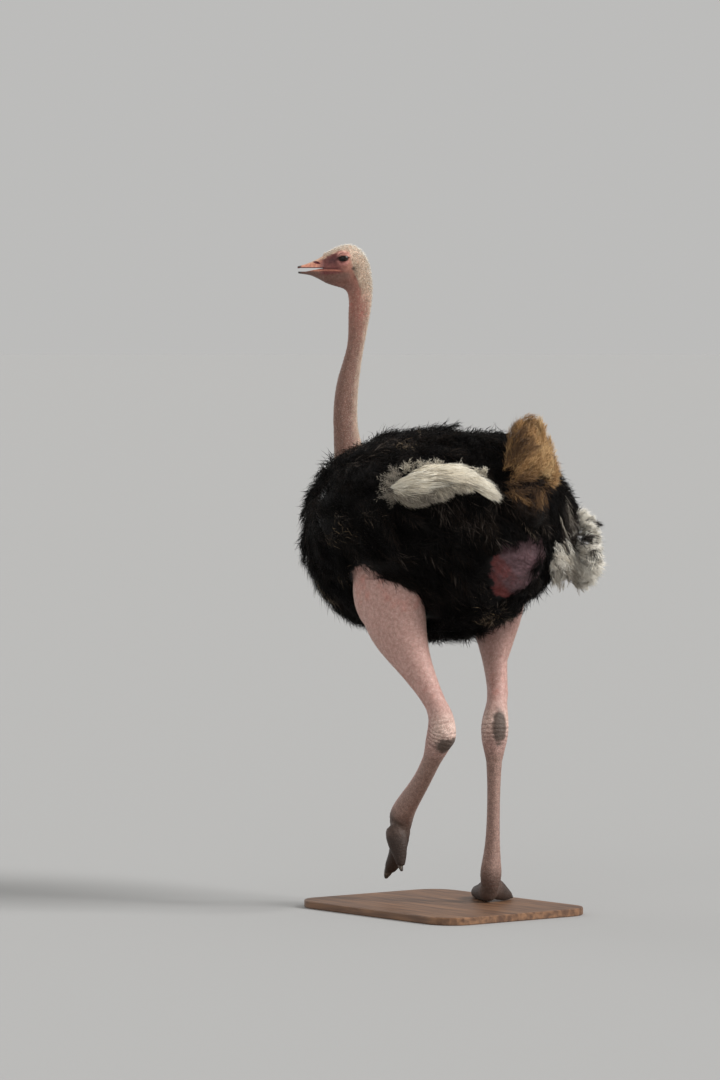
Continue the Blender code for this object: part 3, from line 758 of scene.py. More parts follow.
def makeTail(material):
    dice = np.random.default_rng(22)
    surface = surfaceOf(["tail"], 0.009, 6)
    tree = treeOf(surface)
    roots, normals = scattered(surface, tail["number"], dice)
    count = len(roots)
    x, y, z = roots.T
    lengths = dice.uniform(*tail["lengths"], count)
    depth = dice.uniform(*tail["depths"], count)
    stand = np.minimum(0.016 * wavy(roots, 0.045, 44) + dice.normal(-0.003, 0.004, count), 0.014)
    paths, faces = combed(roots, normals, tailFlow, lengths, depth, stand, tree, 5)
    seeds = dice.choice(count, tail["tufts"], replace=False)
    ends = paths[seeds]
    ends[:, 2:] += dice.normal(0, 0.007, (len(seeds), 1, 3)) * np.array([0.5, 1.0, 1.4])[None, :, None]
    paths, lock = lockedIn(paths, roots, roots[seeds], ends, tail["gather"])
    paths = drawnIn(paths, tail)
    faces = rolled(paths, faces, 0.6, dice)
    spot = np.stack([paths[:, 3] @ rearRight, paths[:, 3, 2]], 1)
    hollow = sum(hill(np.linalg.norm(spot - hole, axis=1), 0, 0.021) for hole in np.array(tail["holes"]))
    hollow *= paths[:, 3] @ rearLeft > 0.33
    # the rise towards the rear right is painted light on that side of the tuft; the rest varies by feather
    # and tuft
    shade = (0.18 + 0.26 * dice.uniform(0, 1, count) + 0.44 * dice.uniform(0, 1, len(seeds))[lock]
             + 0.34 * ease(roots @ rearRight, 0.22, 0.33) + 0.12 * wavy(roots, 0.05, 45))
    # darker towards the tuft's foot, and painted shade in the hollows
    shade = shade * ease(paths[:, -1, 2], 1.27, 1.345) * (1 - 0.9 * np.clip(hollow, 0, 1))
    turn = np.arctan2(x - 0.01, y - 0.44) / (2 * math.pi) + 0.5
    unwrap = 0.05 + 0.9 * np.stack([turn, (z - 1.26) / 0.33], 1)
    keep = dice.uniform(0, 1, count) > 0.55 * hollow
    made = feathers(paths[keep], faces[keep], tail["vane"], dice, np.clip(shade, 0, 1)[keep])
    addCoat("tailFeathers", made, np.clip(unwrap, 0.01, 0.99)[keep], material, "plumage_brown", ["tail"])
    removed(surface)


whiteBand = {
    "tones": [(0.0, (0.13, 0.115, 0.10)), (0.35, (0.40, 0.35, 0.28)), (0.65, (0.76, 0.68, 0.53)),
              (1.0, (0.94, 0.89, 0.77))],
    "tipTone": (0.90, 0.85, 0.74), "tipRange": (0.35, 1.5), "tipShade": (0.0, 0.7),
    "roughness": 0.6, "sheen": 0.0, "gloss": 0.25,
    "tries": 5200, "upper": 330, "lower": 560, "wisps": 170, "tufts": 70, "gather": 0.65,
    "smooth": {"barbs": 34, "bare": 0.02, "spread": (14, 5), "ruffle": 2.5, "width": 0.066, "lift": 0.01,
               "curl": 0.9, "droop": 0.06, "cling": 0.30, "frizz": 0.045, "blade": 0.0014, "quill": 0.0010},
    "fluffy": {"barbs": 18, "bare": 0.02, "spread": (38, 10), "ruffle": 9, "width": 0.028, "lift": 0.06,
               "curl": 0.3, "droop": 0.1, "cling": 0.1, "frizz": 0.26, "blade": 0.0014, "quill": 0.0008},
    "wisp": {"barbs": 11, "bare": 0.05, "spread": (55, 25), "ruffle": 14, "width": 0.016, "lift": 0.1,
             "curl": 0.1, "droop": 0.0, "cling": 0.0, "frizz": 0.45, "blade": 0.0012, "quill": 0.0006},
    # heights along the band: of the foot of the fluff, and of the smooth roll's two edges
    "lowEdge": [(0.0, 1.318), (0.39, 1.355), (0.56, 1.385), (1.0, 1.400)],
    "rollLow": [(0.0, 1.350), (0.39, 1.410), (0.71, 1.394), (0.95, 1.352)],
    "rollTop": [(0.0, 1.380), (0.10, 1.400), (0.35, 1.444), (0.60, 1.450), (0.82, 1.424), (1.0, 1.375)],
    # the height of the middle line towards the rear, and the share of the depth kept there
    "middle": [(0.60, 1.400), (0.71, 1.394), (0.856, 1.379), (1.0, 1.356)],
    "narrowed": [(0.60, 1.0), (0.71, 0.85), (0.856, 0.55), (1.0, 0.22)],
}


def middleLine(name, bins):  # the middle line of a plume mass from front to rear
    points = pointsOf(cadNodes[name])
    edges = np.linspace(points[:, 1].min(), points[:, 1].max() + 1e-6, bins + 1)
    parts = [points[(points[:, 1] >= a) & (points[:, 1] < b)] for a, b in zip(edges, edges[1:])]
    return np.array([(p.min(0) + p.max(0)) / 2 for p in parts if len(p) > 2])


def between(line, t):  # points at shares t of the way along a line of points
    return sampled(line[None], (np.clip(t, 0, 1) * (len(line) - 1))[None])[0]


def onCoat(tree, points, lift):
    spots, normals = nearest(tree, points.reshape(-1, 3))
    return (spots + normals * np.reshape(lift, (-1, 1))).reshape(points.shape), normals.reshape(points.shape)


def makeWisps(line, coatTree, material, dice):  # thin and curled, before the band and along its top
    count = whiteBand["wisps"]
    atFront = dice.uniform(0, 1, count) < 0.30
    t = np.where(atFront, dice.uniform(0.0, 0.10, count), dice.uniform(0.10, 0.95, count))
    root = between(line, t)
    root += np.outer(atFront, [0.004, -0.012, 0.0]) * dice.uniform(0, 1, (count, 1))
    root[:, 2] += np.where(atFront, dice.uniform(-0.065, 0.045, count), dice.uniform(0.036, 0.060, count))
    way = np.where(atFront[:, None], [0.2, -0.9, 0.1], [0.1, 0.25, 1.0])
    way = unit(way + dice.normal(0, 0.45, (count, 3)))
    size = dice.uniform(0.025, 0.055, count) * np.where(atFront, 0.7, 1.0)
    reach = np.linspace(0, 1, 5)
    points = root[:, None] + reach[None, :, None] * (way * size[:, None])[:, None]
    points += (reach ** 2)[None, :, None] * dice.normal(0, 0.010, (count, 1, 3))
    paths, faces = onCoat(coatTree, points, np.tile(-0.004 + 0.018 * reach, count))
    shade = np.where(atFront, 0.35, 0.8) * dice.uniform(0.3, 1.25, count).clip(0, 1)
    made = feathers(paths, faces, whiteBand["wisp"], dice, shade)
    place = 0.05 + 0.9 * np.stack([t, 0.5 + 0 * t], 1).clip(0, 1)
    addCoat("leftWisps", made, place, material, "plumage_white")


def makeLeftBand(coat, material):
    dice = np.random.default_rng(23)
    line = middleLine("plumes_left", 7)
    surface = surfaceOf(["plumes_left"], 0.007, 5)
    tree, coatTree = treeOf(surface), treeOf(coat)
    roots, normals = scattered(surface, whiteBand["tries"], dice)
    roots, normals = roots[normals[:, 0] > -0.35], normals[normals[:, 0] > -0.35]
    along, centre = onPath(roots, line)[:2]
    share, above = along / along.max(), roots[:, 2] - centre[:, 2]

    def flowOf(droop, wander):
        def flow(points):
            spread = np.stack([wavy(points, 0.07, seed) for seed in (46, 47, 48)], 1)
            return unit(onPath(points, line)[2] - droop * up + wander * spread)
        return flow

    def tapered(paths):  # draws the rear end together to its tip
        flat = paths.reshape(-1, 3).copy()
        reach = onPath(flat, line)[0] / along.max()
        middle, narrowed = (np.interp(reach, *zip(*whiteBand[part])) for part in ("middle", "narrowed"))
        flat[:, 2] = middle + (flat[:, 2] - middle) * narrowed
        return flat.reshape(paths.shape)

    rollLow, rollTop = (np.interp(share, *zip(*whiteBand[edge])) for edge in ("rollLow", "rollTop"))
    edge = np.interp(share, *zip(*whiteBand["lowEdge"]))
    height = roots[:, 2]

    # smooth, cream quills that sweep over the upper edge to the rear; they are painted paler the higher they
    # root, a painted highlight on the top of the roll
    found = np.nonzero((height > rollLow) & (height < rollTop) & (share < 0.88))[0]
    chosen = dice.permutation(found)[:whiteBand["upper"]]
    count = len(chosen)
    lengths = np.minimum(dice.uniform(0.09, 0.17, count), (0.96 - share[chosen]) * along.max() + 0.012)
    stand = dice.uniform(-0.002, 0.005, count)
    paths, faces = combed(roots[chosen], normals[chosen], flowOf(0.0, 0.10), lengths,
                          dice.uniform(0.003, 0.014, count), stand, tree, 6)
    shade = np.clip(0.58 + 8 * (height - rollLow)[chosen] + 0.22 * wavy(roots[chosen], 0.05, 49)
                    + dice.normal(0, 0.14, count), 0, 1)
    made = feathers(tapered(paths), faces, whiteBand["smooth"], dice, shade)
    place = 0.05 + 0.9 * np.stack([share, 0.5 + above * 6], 1).clip(0, 1)
    addCoat("leftPlumesTop", made, place[chosen], material, "plumage_white", ["plumes_left"])

    # fluffier ones below, in loose tufts
    found = np.nonzero((height < rollLow + 0.010) & (height > edge))[0]
    chosen = dice.permutation(found)[:whiteBand["lower"]]
    count = len(chosen)
    lengths = dice.uniform(0.035, 0.070, count) * (1 - 0.5 * ease(share[chosen], 0.6, 1.0))
    stand = np.minimum(0.007 * wavy(roots[chosen], 0.03, 50) - 0.006, 0.006)
    paths, faces = combed(roots[chosen], normals[chosen], flowOf(0.55, 0.35), lengths,
                          dice.uniform(0.003, 0.016, count), stand, tree, 5)
    seeds = dice.choice(count, whiteBand["tufts"], replace=False)
    paths, lock = lockedIn(paths, roots[chosen], roots[chosen][seeds], paths[seeds], whiteBand["gather"])
    shade = np.clip(0.10 + 0.42 * dice.uniform(0, 1, len(seeds))[lock] + 0.35 * ease(share[chosen], 0.5, 0.85)
                    + dice.normal(0, 0.12, count), 0, 1)
    made = feathers(tapered(paths), faces, whiteBand["fluffy"], dice, shade)
    addCoat("leftPlumesBelow", made, place[chosen], material, "plumage_white")

    makeWisps(line, coatTree, material, dice)
    removed(surface)


fan = {
    "tones": [(0.0, (0.012, 0.009, 0.007)), (0.30, (0.040, 0.030, 0.024)), (0.55, (0.55, 0.49, 0.40)),
              (1.0, (0.95, 0.91, 0.82))],
    "tipTone": (0.93, 0.89, 0.81), "tipRange": (0.30, 0.9), "tipShade": (0.15, 0.6),
    "roughness": 0.6, "sheen": 0.0, "gloss": 0.2,
    "middle": (-0.279, 0.269, 1.165),                      # the plumes spread from here
    "centre": (0.425, 1.150), "dark": (0.415, 1.168),      # to the rear right, and up
    "vane": {"barbs": 20, "bare": 0.06, "spread": (20, 4), "ruffle": 5, "width": 0.040, "lift": 0.03,
             "curl": 0.6, "droop": 0.05, "cling": 0.10, "frizz": 0.13, "blade": 0.0018, "quill": 0.0011},
    "number": 950, "lengths": (0.06, 0.10), "locks": 150, "gather": 0.76,
    "tries": 90000, "vanes": 230, "under": 160, "loose": 110,    # feathers from the wing's rear edge
    # shares of its width kept either side of an upright line, by height, and how far it is raised
    "line": 0.333, "heights": [1.0, 1.3], "right": [0.86, 0.86], "left": [1.0, 1.0], "raised": 0.020,
}


def makeLoosePlumes(start, material, dice):  # plumes that cross from the wing's edge to the fan
    count = len(start)
    ends = (np.outer(dice.uniform(0.36, 0.47, count), rearRight)
            + np.outer(dice.uniform(0.03, 0.09, count), rearLeft)
            + np.outer(dice.uniform(1.055, 1.14, count), up))
    t = np.linspace(0, 1, 5)[None, :, None]
    size = np.minimum(1, 0.15 / np.linalg.norm(ends - start, axis=1))[:, None, None]
    paths = start[:, None] + (ends - start)[:, None] * t * size
    paths += rearLeft * 0.035 * np.sin(math.pi * t) - up * 0.02 * t ** 2
    paths += dice.normal(0, 0.006, (count, 5, 3)) * t
    ways = unit(np.gradient(paths, axis=1))
    faces = unit(np.cross(ways, np.cross(rearLeft + dice.normal(0, 0.3, (count, 1, 3)), ways)))
    made = feathers(paths, faces, fan["vane"], dice, dice.uniform(0.25, 1.0, count) ** 0.7)
    place = np.tile([0.5, 0.3], (count, 1)) + dice.uniform(-0.1, 0.1, (count, 2))
    addCoat("rightLoose", made, place, material, "plumage_white")


# Dark vanes, and pale plumes under them, that join the wing's rear edge to the fan
def makeWingEdge(coat, coatTree, material, dice):
    roots, normals = scattered(coat, fan["tries"], dice)
    x, y, z = roots.T
    aside = roots @ rearRight
    vanes = (aside > 0.30) & (aside < 0.43) & (z > 1.14) & (z < 1.36)
    under = (aside > 0.33) & (aside < 0.41) & (z > 1.09) & (z < 1.18)
    for name, number, zone, towards, tones in (
            ("rightVanes", fan["vanes"], vanes, (-0.28, 0.40, 1.10), (0.05, 0.50)),
            ("rightUnder", fan["under"], under, (-0.28, 0.33, 1.05), (0.75, 1.1))):
        chosen = dice.permutation(np.nonzero(zone & (y > 0.15) & (x < -0.08))[0])[:number]
        start, face = roots[chosen], normals[chosen]
        count = len(chosen)
        twist = dice.normal(0, 0.20, (count, 3))
        paths, faces = combed(start, face, lambda points: unit(unit(np.array(towards) - points) + twist),
                              dice.uniform(0.07, 0.13, count), dice.uniform(0.0, 0.01, count),
                              dice.uniform(0.008, 0.030, count), coatTree, 5)
        seeds = dice.choice(count, max(count // 6, 2), replace=False)
        paths, lock = lockedIn(paths, start, start[seeds], paths[seeds], 0.6)
        shade = dice.uniform(*tones, len(seeds))[lock] * dice.uniform(0.6, 1.1, count)
        made = feathers(paths, faces, fan["vane"], dice, np.clip(shade, 0, 1))
        place = np.stack([(start[:, 1] - 0.1) / 0.4, (start[:, 2] - 1.0) / 0.4], 1).clip(0, 1)
        addCoat(name, made, 0.05 + 0.9 * place, material, "plumage_white")
    found = np.nonzero((aside > 0.33) & (aside < 0.43) & (z > 1.08) & (z < 1.22) & (y > 0.15))[0]
    makeLoosePlumes(roots[dice.permutation(found)[:fan["loose"]]], material, dice)


def makeRightFan(coat, material):
    dice = np.random.default_rng(24)
    surface = surfaceOf(["plumes_right"], 0.009, 6)
    tree, coatTree = treeOf(surface), treeOf(coat)
    roots, normals = scattered(surface, fan["number"], dice)
    roots -= normals * 0.004
    middle = np.array(fan["middle"])

    def flow(points):
        return unit(points - middle + np.array([-0.01, 0.02, -0.01]))

    far = np.hypot(roots @ rearRight - fan["centre"][0], roots[:, 2] - fan["centre"][1])
    lengths = dice.uniform(*fan["lengths"], len(roots)) * (1 - 0.50 * ease(far, 0.05, 0.12))
    depth = dice.uniform(0.006, 0.030, len(roots))
    stand = np.minimum(0.012 * wavy(roots, 0.035, 51) + dice.normal(-0.006, 0.005, len(roots)), 0.008)
    paths, faces = combed(roots, normals, flow, lengths, depth, stand, tree, 5)
    seeds = dice.choice(len(roots), fan["locks"], replace=False)
    ends = paths[seeds]
    ends[:, 3:] += dice.normal(0, 0.008, (len(seeds), 1, 3)) * np.array([0.6, 1.4])[None, :, None]
    paths, lock = lockedIn(paths, roots, roots[seeds], ends, fan["gather"])
    paths = drawnIn(paths, fan) + up * fan["raised"]
    across, above = paths[seeds, 3] @ rearRight - fan["dark"][0], paths[seeds, 3, 2] - fan["dark"][1]
    palest = np.maximum(0.97 * ease(-above, 0.0, 0.030), 0.75 * ease(across, 0.0, 0.035))
    palest = np.maximum(palest, 0.42 + 0.25 * ease(-across, 0.02, 0.06))
    palest *= 0.20 + 0.80 * ease(np.hypot(across, above), 0.012, 0.034)
    locks = np.where(dice.uniform(0, 1, len(seeds)) < palest, dice.uniform(0.70, 1.0, len(seeds)),
                     dice.uniform(0.0, 0.26, len(seeds)))
    shade = locks[lock] + dice.normal(0, 0.06, len(roots))
    made = feathers(paths, faces, fan["vane"], dice, np.clip(shade, 0, 1))
    unwrap = np.stack([(roots[:, 1] - 0.1) / 0.4, (roots[:, 2] - 1.0) / 0.3], 1)
    addCoat("rightPlumes", made, 0.05 + 0.9 * unwrap.clip(0, 1), material, "plumage_white", ["plumes_right"])
    removed(surface)
    makeWingEdge(coat, coatTree, material, dice)


skinLook = {
    # the neck and head
    "neck": (0.31, 0.135, 0.100), "neckPale": (0.64, 0.46, 0.36), "neckBrown": (0.165, 0.092, 0.070),
    "neckRed": (0.36, 0.105, 0.080), "throat": (0.215, 0.115, 0.090), "crown": (0.66, 0.50, 0.38),
    "face": (0.170, 0.050, 0.047), "lore": (0.062, 0.018, 0.021), "brow": (0.62, 0.32, 0.26),
    "lid": (0.46, 0.19, 0.165), "cheek": (0.46, 0.235, 0.155), "mouth": (0.085, 0.018, 0.018),
    "lip": (0.56, 0.21, 0.13), "bill": (0.58, 0.245, 0.160), "culmenHighlight": (0.66, 0.42, 0.29),
    "jaw": (0.195, 0.098, 0.074), "nail": (0.080, 0.066, 0.058), "nostril": (0.10, 0.012, 0.014),
    # the legs and feet
    "thigh": (0.47, 0.285, 0.245), "thighRed": (0.45, 0.17, 0.13), "ankle": (0.46, 0.29, 0.25),
    "anklePale": (0.72, 0.53, 0.45), "callus": (0.088, 0.066, 0.052), "crease": (0.15, 0.066, 0.052),
    "tarsus": (0.335, 0.215, 0.175), "scute": (0.52, 0.27, 0.22), "foot": (0.092, 0.060, 0.046),
    "toe": (0.034, 0.023, 0.017), "sole": (0.08, 0.062, 0.05),
    # the trunk, under the plumage near black, painted shade for the gaps between feathers, and bare below the
    # tail
    "under": (0.007, 0.006, 0.0055), "patchRed": (0.150, 0.036, 0.033), "patchMauve": (0.115, 0.064, 0.072),
    # the callus behind each ankle: how far back, how far up, and its radii
    "padBehind": {"left": 0.050, "right": 0.050}, "padAbove": {"left": -0.038, "right": 0.018},
    "padSize": {"left": (0.042, 0.040, 0.032), "right": (0.026, 0.028, 0.067)},
    # ahead of the point between the eyes and above it
    "ear": (-0.034, -0.032), "mouthHeight": -0.0322, "billTop": ([0.06, 0.10, 0.15], [0.002, -0.013, -0.024]),
    "billFoot": ([0.06, 0.10, 0.15], [0.040, 0.0385, 0.034]),
    # the share of triangles that stays, and how far each height can spare them
    "kept": 0.362, "spare": ([0.25, 0.30, 0.48, 0.54, 0.70, 0.75, 1.10, 1.11],
                             [0.4, 0.5, 0.5, 0.3, 0.3, 0.5, 0.5, 0]),
    # heights on the right thigh, and how much wider it is there
    "wider": ([0.70, 0.74, 0.80, 0.87, 0.94, 1.0, 1.08], [0, -0.008, -0.018, -0.006, 0.010, 0.020, 0.010]),
}


def legLine(side):
    parts = [spineOf(part + side, count) for part, count in (("thigh_", 4), ("ankle_", 4), ("tarsus_", 7))]
    return np.concatenate(parts)


legLines = {side: legLine(side) for side in ("left", "right")}
toeLines = {side: {toe: spineOf("toe_%s_%s" % (toe, side), 6) for toe in ("main", "outer")}
            for side in ("left", "right")}
legAhead = {"left": np.array([0.0, -1.0, 0.0]), "right": np.array([-0.342, -0.940, 0.0])}


def ankleOf(side):  # the ankle's middle, and how far down the leg's line it lies
    low, high = (np.array(corner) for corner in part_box("ankle_" + side))
    middle = (low + high) / 2
    return middle, onPath(middle[None], legLines[side])[0][0]


def blend(tone, other, mask):
    mask = np.clip(mask, 0, 1)[:, None]
    return tone * (1 - mask) + np.asarray(other) * mask


def aboveMouth(a, h):  # height over the line of the mouth, which rises behind the bill
    return h - skinLook["mouthHeight"] + 0.10 * np.clip(0.03 - a, 0, 1)


def fromEar(a, h, length, height):  # 0 at the middle of the ear, 1 at these distances from it
    return np.hypot((a - skinLook["ear"][0]) / length, (h - skinLook["ear"][1]) / height)


def headTone(points):  # the bare skin of the face, and the bill it runs into
    a, s, h = inHead(points)
    look, blotch, fine = skinLook, wavy(points, 0.022, 72), wavy(points, 0.006, 76)
    side = ease(abs(s), 0.006, 0.012)
    tone = np.tile(look["face"], (len(points), 1))
    tone = blend(tone, look["cheek"], 0.55 * ease(-a, -0.030, 0.024) + 0.12 * blotch)
    tone = blend(tone, look["throat"], ease(-h - 0.10 * a, 0.040, 0.052) * (1 - 0.8 * ease(-a, 0.010, 0.035)))
    # dark maroon before the eye, partly its own colour, partly painted shade in the hollow there
    tone = blend(tone, look["lore"], hill(a, 0.036, 0.026) * hill(h, -0.004, 0.014) * (0.9 + 0.1 * fine))
    ring = np.hypot(a / 1.2, h)
    # pink on the brow ridge over the eye, partly its own colour, partly a painted highlight on the ridge
    overEye = hill(ring, 0.0215, 0.0068) * ease(h, 0.001, 0.009)
    tone = blend(tone, look["brow"], overEye * ease(-a, -0.024, -0.012))
    tone = blend(tone, look["lid"], hill(ring, 0.0165, 0.0040) * ease(-h, 0.002, 0.008) * 0.8)
    tone = blend(tone, look["bill"], ease(a + 0.002 * fine, 0.064, 0.090) * ease(h, -0.050, -0.038))
    low = -h - np.interp(a, *look["billFoot"])
    tone = blend(tone, look["jaw"], ease(a, 0.066, 0.085) * ease(low, -0.001, 0.004))
    # the top edge of the bill is painted paler: a painted highlight from above
    high = h - np.interp(a, *look["billTop"])
    tone = blend(tone, look["culmenHighlight"], ease(a, 0.050, 0.066) * ease(high, -0.004, 0.005))
    # a dark line along the mouth, partly its own colour, partly painted shade in the fold there
    line = aboveMouth(a, h)
    tone = blend(tone, look["mouth"], hill(line, 0, 0.0022) * ease(a, 0.006, 0.026) * side * (h > -0.045))
    # a paler band below the mouth line, partly its own colour, partly a painted highlight on the ridge there
    tone = blend(tone, look["lip"], hill(line, -0.0052, 0.0020) * ease(a, 0.000, 0.022) * side * 0.85)
    return blend(tone, look["nail"], ease(a + 0.001 * fine, 0.1345, 0.1415))


def creased(points, along):  # 1 in the creases round a joint, 0 between them
    wave = np.sin(along * math.pi / 0.0130 + 0.8 * wavy(points, 0.06, 63))
    return 1 - ease(abs(wave), 0.0, 0.55)


# Each relief adds to move: how far every point of the skin goes out along its normal
def headRelief(move, points):  # brow over the eye, hollow before it, cheek fold, throat wrinkles, neck rings
    y = points[:, 1]
    a, s, h = inHead(points)
    onHead = ease(h, -0.12, -0.09) * (y < -0.30)
    side = abs(s)
    onCheek = ease(side, 0.015, 0.030)
    ring = np.hypot(a / 1.2, h)
    move += onHead * 0.0020 * hill(ring, 0.0215, 0.0045) * ease(h, 0.002, 0.010) * onCheek
    move -= onHead * 0.0009 * hill(ring, 0.0185, 0.0018) * ease(abs(h), 0.002, 0.007) * onCheek
    move += onHead * 0.0014 * hill(a, -0.010, 0.022) * hill(h, -0.036, 0.014) * onCheek
    move -= onHead * 0.0014 * hill(a, 0.036, 0.010) * hill(h, 0.004, 0.010) * ease(side, 0.015, 0.025)
    fold = aboveMouth(a, h)
    move -= onHead * 0.0015 * hill(fold, 0, 0.0022) * ease(a, 0.0, 0.022) * ease(side, 0.008, 0.016)
    move += onHead * 0.0010 * hill(fold, -0.0060, 0.0040) * ease(a, -0.010, 0.020) * ease(side, 0.008, 0.016)
    rings = np.sin((h * 0.9 + 0.5 * a) * 2 * math.pi / 0.0085 + 1.6 * wavy(points, 0.03, 61))
    move += 0.00022 * rings * ease(-h, 0.045, 0.075) * ease(h, -0.17, -0.12) * (y < -0.30)
    move -= onHead * 0.0018 * ease(a, body["skinEnd"] - 0.006, body["skinEnd"] - 0.001)
    onNeck = ease(h, -0.72, -0.66) * ease(-h, 0.10, 0.16) * (y < -0.33)
    move += onNeck * 0.00035 * np.sin(h * 2 * math.pi / 0.012 + 2.2 * wavy(points, 0.05, 62))


def legRelief(move, points, normals):  # creases at the joints, the pad behind the ankle, shank plates
    for name, sign in (("left", 1), ("right", -1)):
        line = legLines[name]
        along, centre = onPath(points, line)[:2]
        near = (np.linalg.norm(points - centre, axis=1) < 0.085) & (np.sign(points[:, 0]) == sign)
        ankle, middle = ankleOf(name)
        front = normals @ legAhead[name]
        joint = hill(along, middle, 0.050) * near
        move -= joint * 0.0034 * creased(points, along) * (0.75 - 0.25 * front)
        drop, swell = (0.020, 0.009) if name == "left" else (0.0, 0.004)
        heel = ankle - legAhead[name] * 0.050 - up * drop
        move += near * swell * hill(np.linalg.norm(points - heel, axis=1), 0, 0.030)
        shank = near * ease(along, middle + 0.03, middle + 0.08)
        plates = along / 0.0135 + 0.25 * np.sign(normals @ np.cross(up, legAhead[name]))
        plate = abs((plates % 1) - 0.5) * 2
        move -= shank * 0.0012 * ease(plate, 0.66, 1.0) * ease(front, 0.20, 0.5)
        move += shank * 0.00035 * wavy(points, 0.012, 64) * ease(-front, -0.3, 0.3)
        root = hill(np.linalg.norm(points - line[-1], axis=1), 0.0, 0.05) * near
        move -= root * 0.0026 * creased(points, along)


def toeRelief(move, points, normals):  # plates along the top, and a softer corner on the left outer toe
    for lines in toeLines.values():
        for line in lines.values():
            along, centre, way = onPath(points, line)
            away = np.linalg.norm(points - centre, axis=1)
            near = (away < 0.045) * ease(along, 0.008, 0.02)
            upper = unit(np.cross(np.cross(way, up), way))
            top = (normals * upper).sum(1)
            plate = abs(((along / 0.0105) % 1) - 0.5) * 2
            move -= near * 0.0012 * ease(plate, 0.60, 1.0) * ease(top, 0.15, 0.5)
    low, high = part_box("toe_outer_left")
    corner = np.array([high[0], low[1], high[2]]) + [-0.005, 0.008, -0.006]
    move -= 0.010 * hill(np.linalg.norm(points - corner, axis=1), 0, 0.020)


def patchRelief(move, points):  # wrinkles on the bare patch
    x, _, z = points.T
    crease = abs(np.sin(8 * wavy(points, 0.16, 66) + (x * 0.5 - z) * 150))
    move += bareness(points) * (0.0045 * wavy(points, 0.055, 65) - 0.0022 * (1 - ease(crease, 0.0, 0.5)))


def shapedSkin(skin):
    points, normals = pointsOf(skin), pointsOf(skin, True)
    x, _, z = points.T
    move = np.zeros(len(points))
    headRelief(move, points)
    legRelief(move, points, normals)
    toeRelief(move, points, normals)
    patchRelief(move, points)
    outside = ease(normals @ rearRight, 0.1, 0.8) * (x < -0.06) * (fringe(points) > -0.2)
    wider = np.interp(z, *skinLook["wider"])
    points = points + normals * move[:, None] + np.outer(outside * wider * (z > 0.7), rearRight)
    standing = (points[:, 2] < baseTop + 0.0006) & (x < 0)
    points[standing, 2] = baseTop + 0.0006
    setPoints(skin, points)


# The painters lay tones over each other, and return how strong the stubble is at each point
def paintHead(lay, points, normals):  # head and neck
    y, z = points.T[1:]
    a, _, h = inHead(points)
    front = normals @ headAhead
    onNeck = ((y < -0.34) & (z > 1.38)) * 1.0
    blotch = wavy(points, 0.035, 72)
    lay("neck", onNeck)
    lay("neckRed", onNeck * ease(blotch, 0.0, 1.2) * 0.6)
    lay("neckBrown", onNeck * ease(-h, 0.10, 0.36) * 0.8)
    # paler on the side facing the rear right, towards the light: painted light; the base of the neck below is
    # its own paler colour
    lay("neckPale", onNeck * (0.05 + 0.85 * ease(normals @ rearRight, 0.40, 0.98)) * (0.75 + 0.25 * blotch))
    lay("neckPale", onNeck * ease(-h, 0.60, 0.68) * 0.3)
    head = onNeck * ease(h, -0.125, -0.070)
    lay("throat", head * ease(front, -0.1, 0.5))
    lay(headTone(points), head * ease(h + 0.3 * a, -0.085, -0.055))
    lay("crown", onNeck * crownShare(points + 0.003 * wavy(points, 0.02, 73)[:, None]))
    # a dark spot at the ear opening, in the callus tone: painted shade in the opening
    lay("callus", onNeck * (1 - ease(fromEar(a, h, 0.0065, 0.0075), 0.6, 1.3)) * 0.9)
    # where the lids meet each eye the skin is painted dark in the mouth's tone, partly the lids' own dark
    # rims, partly painted shade between lid and eyeball
    for side, middle in eyeMiddles.items():
        away = points - middle
        rim = np.linalg.norm(away, axis=1)
        faced = away @ outOfEye(side)
        lay("mouth", (1 - ease(rim - eyeRadius, 0.0008, 0.0016)) * (faced > 0) * onNeck * 0.8)
    return onNeck * (0.55 + 0.45 * ease(-front, 0, 0.8)) * (1 - 0.85 * head)


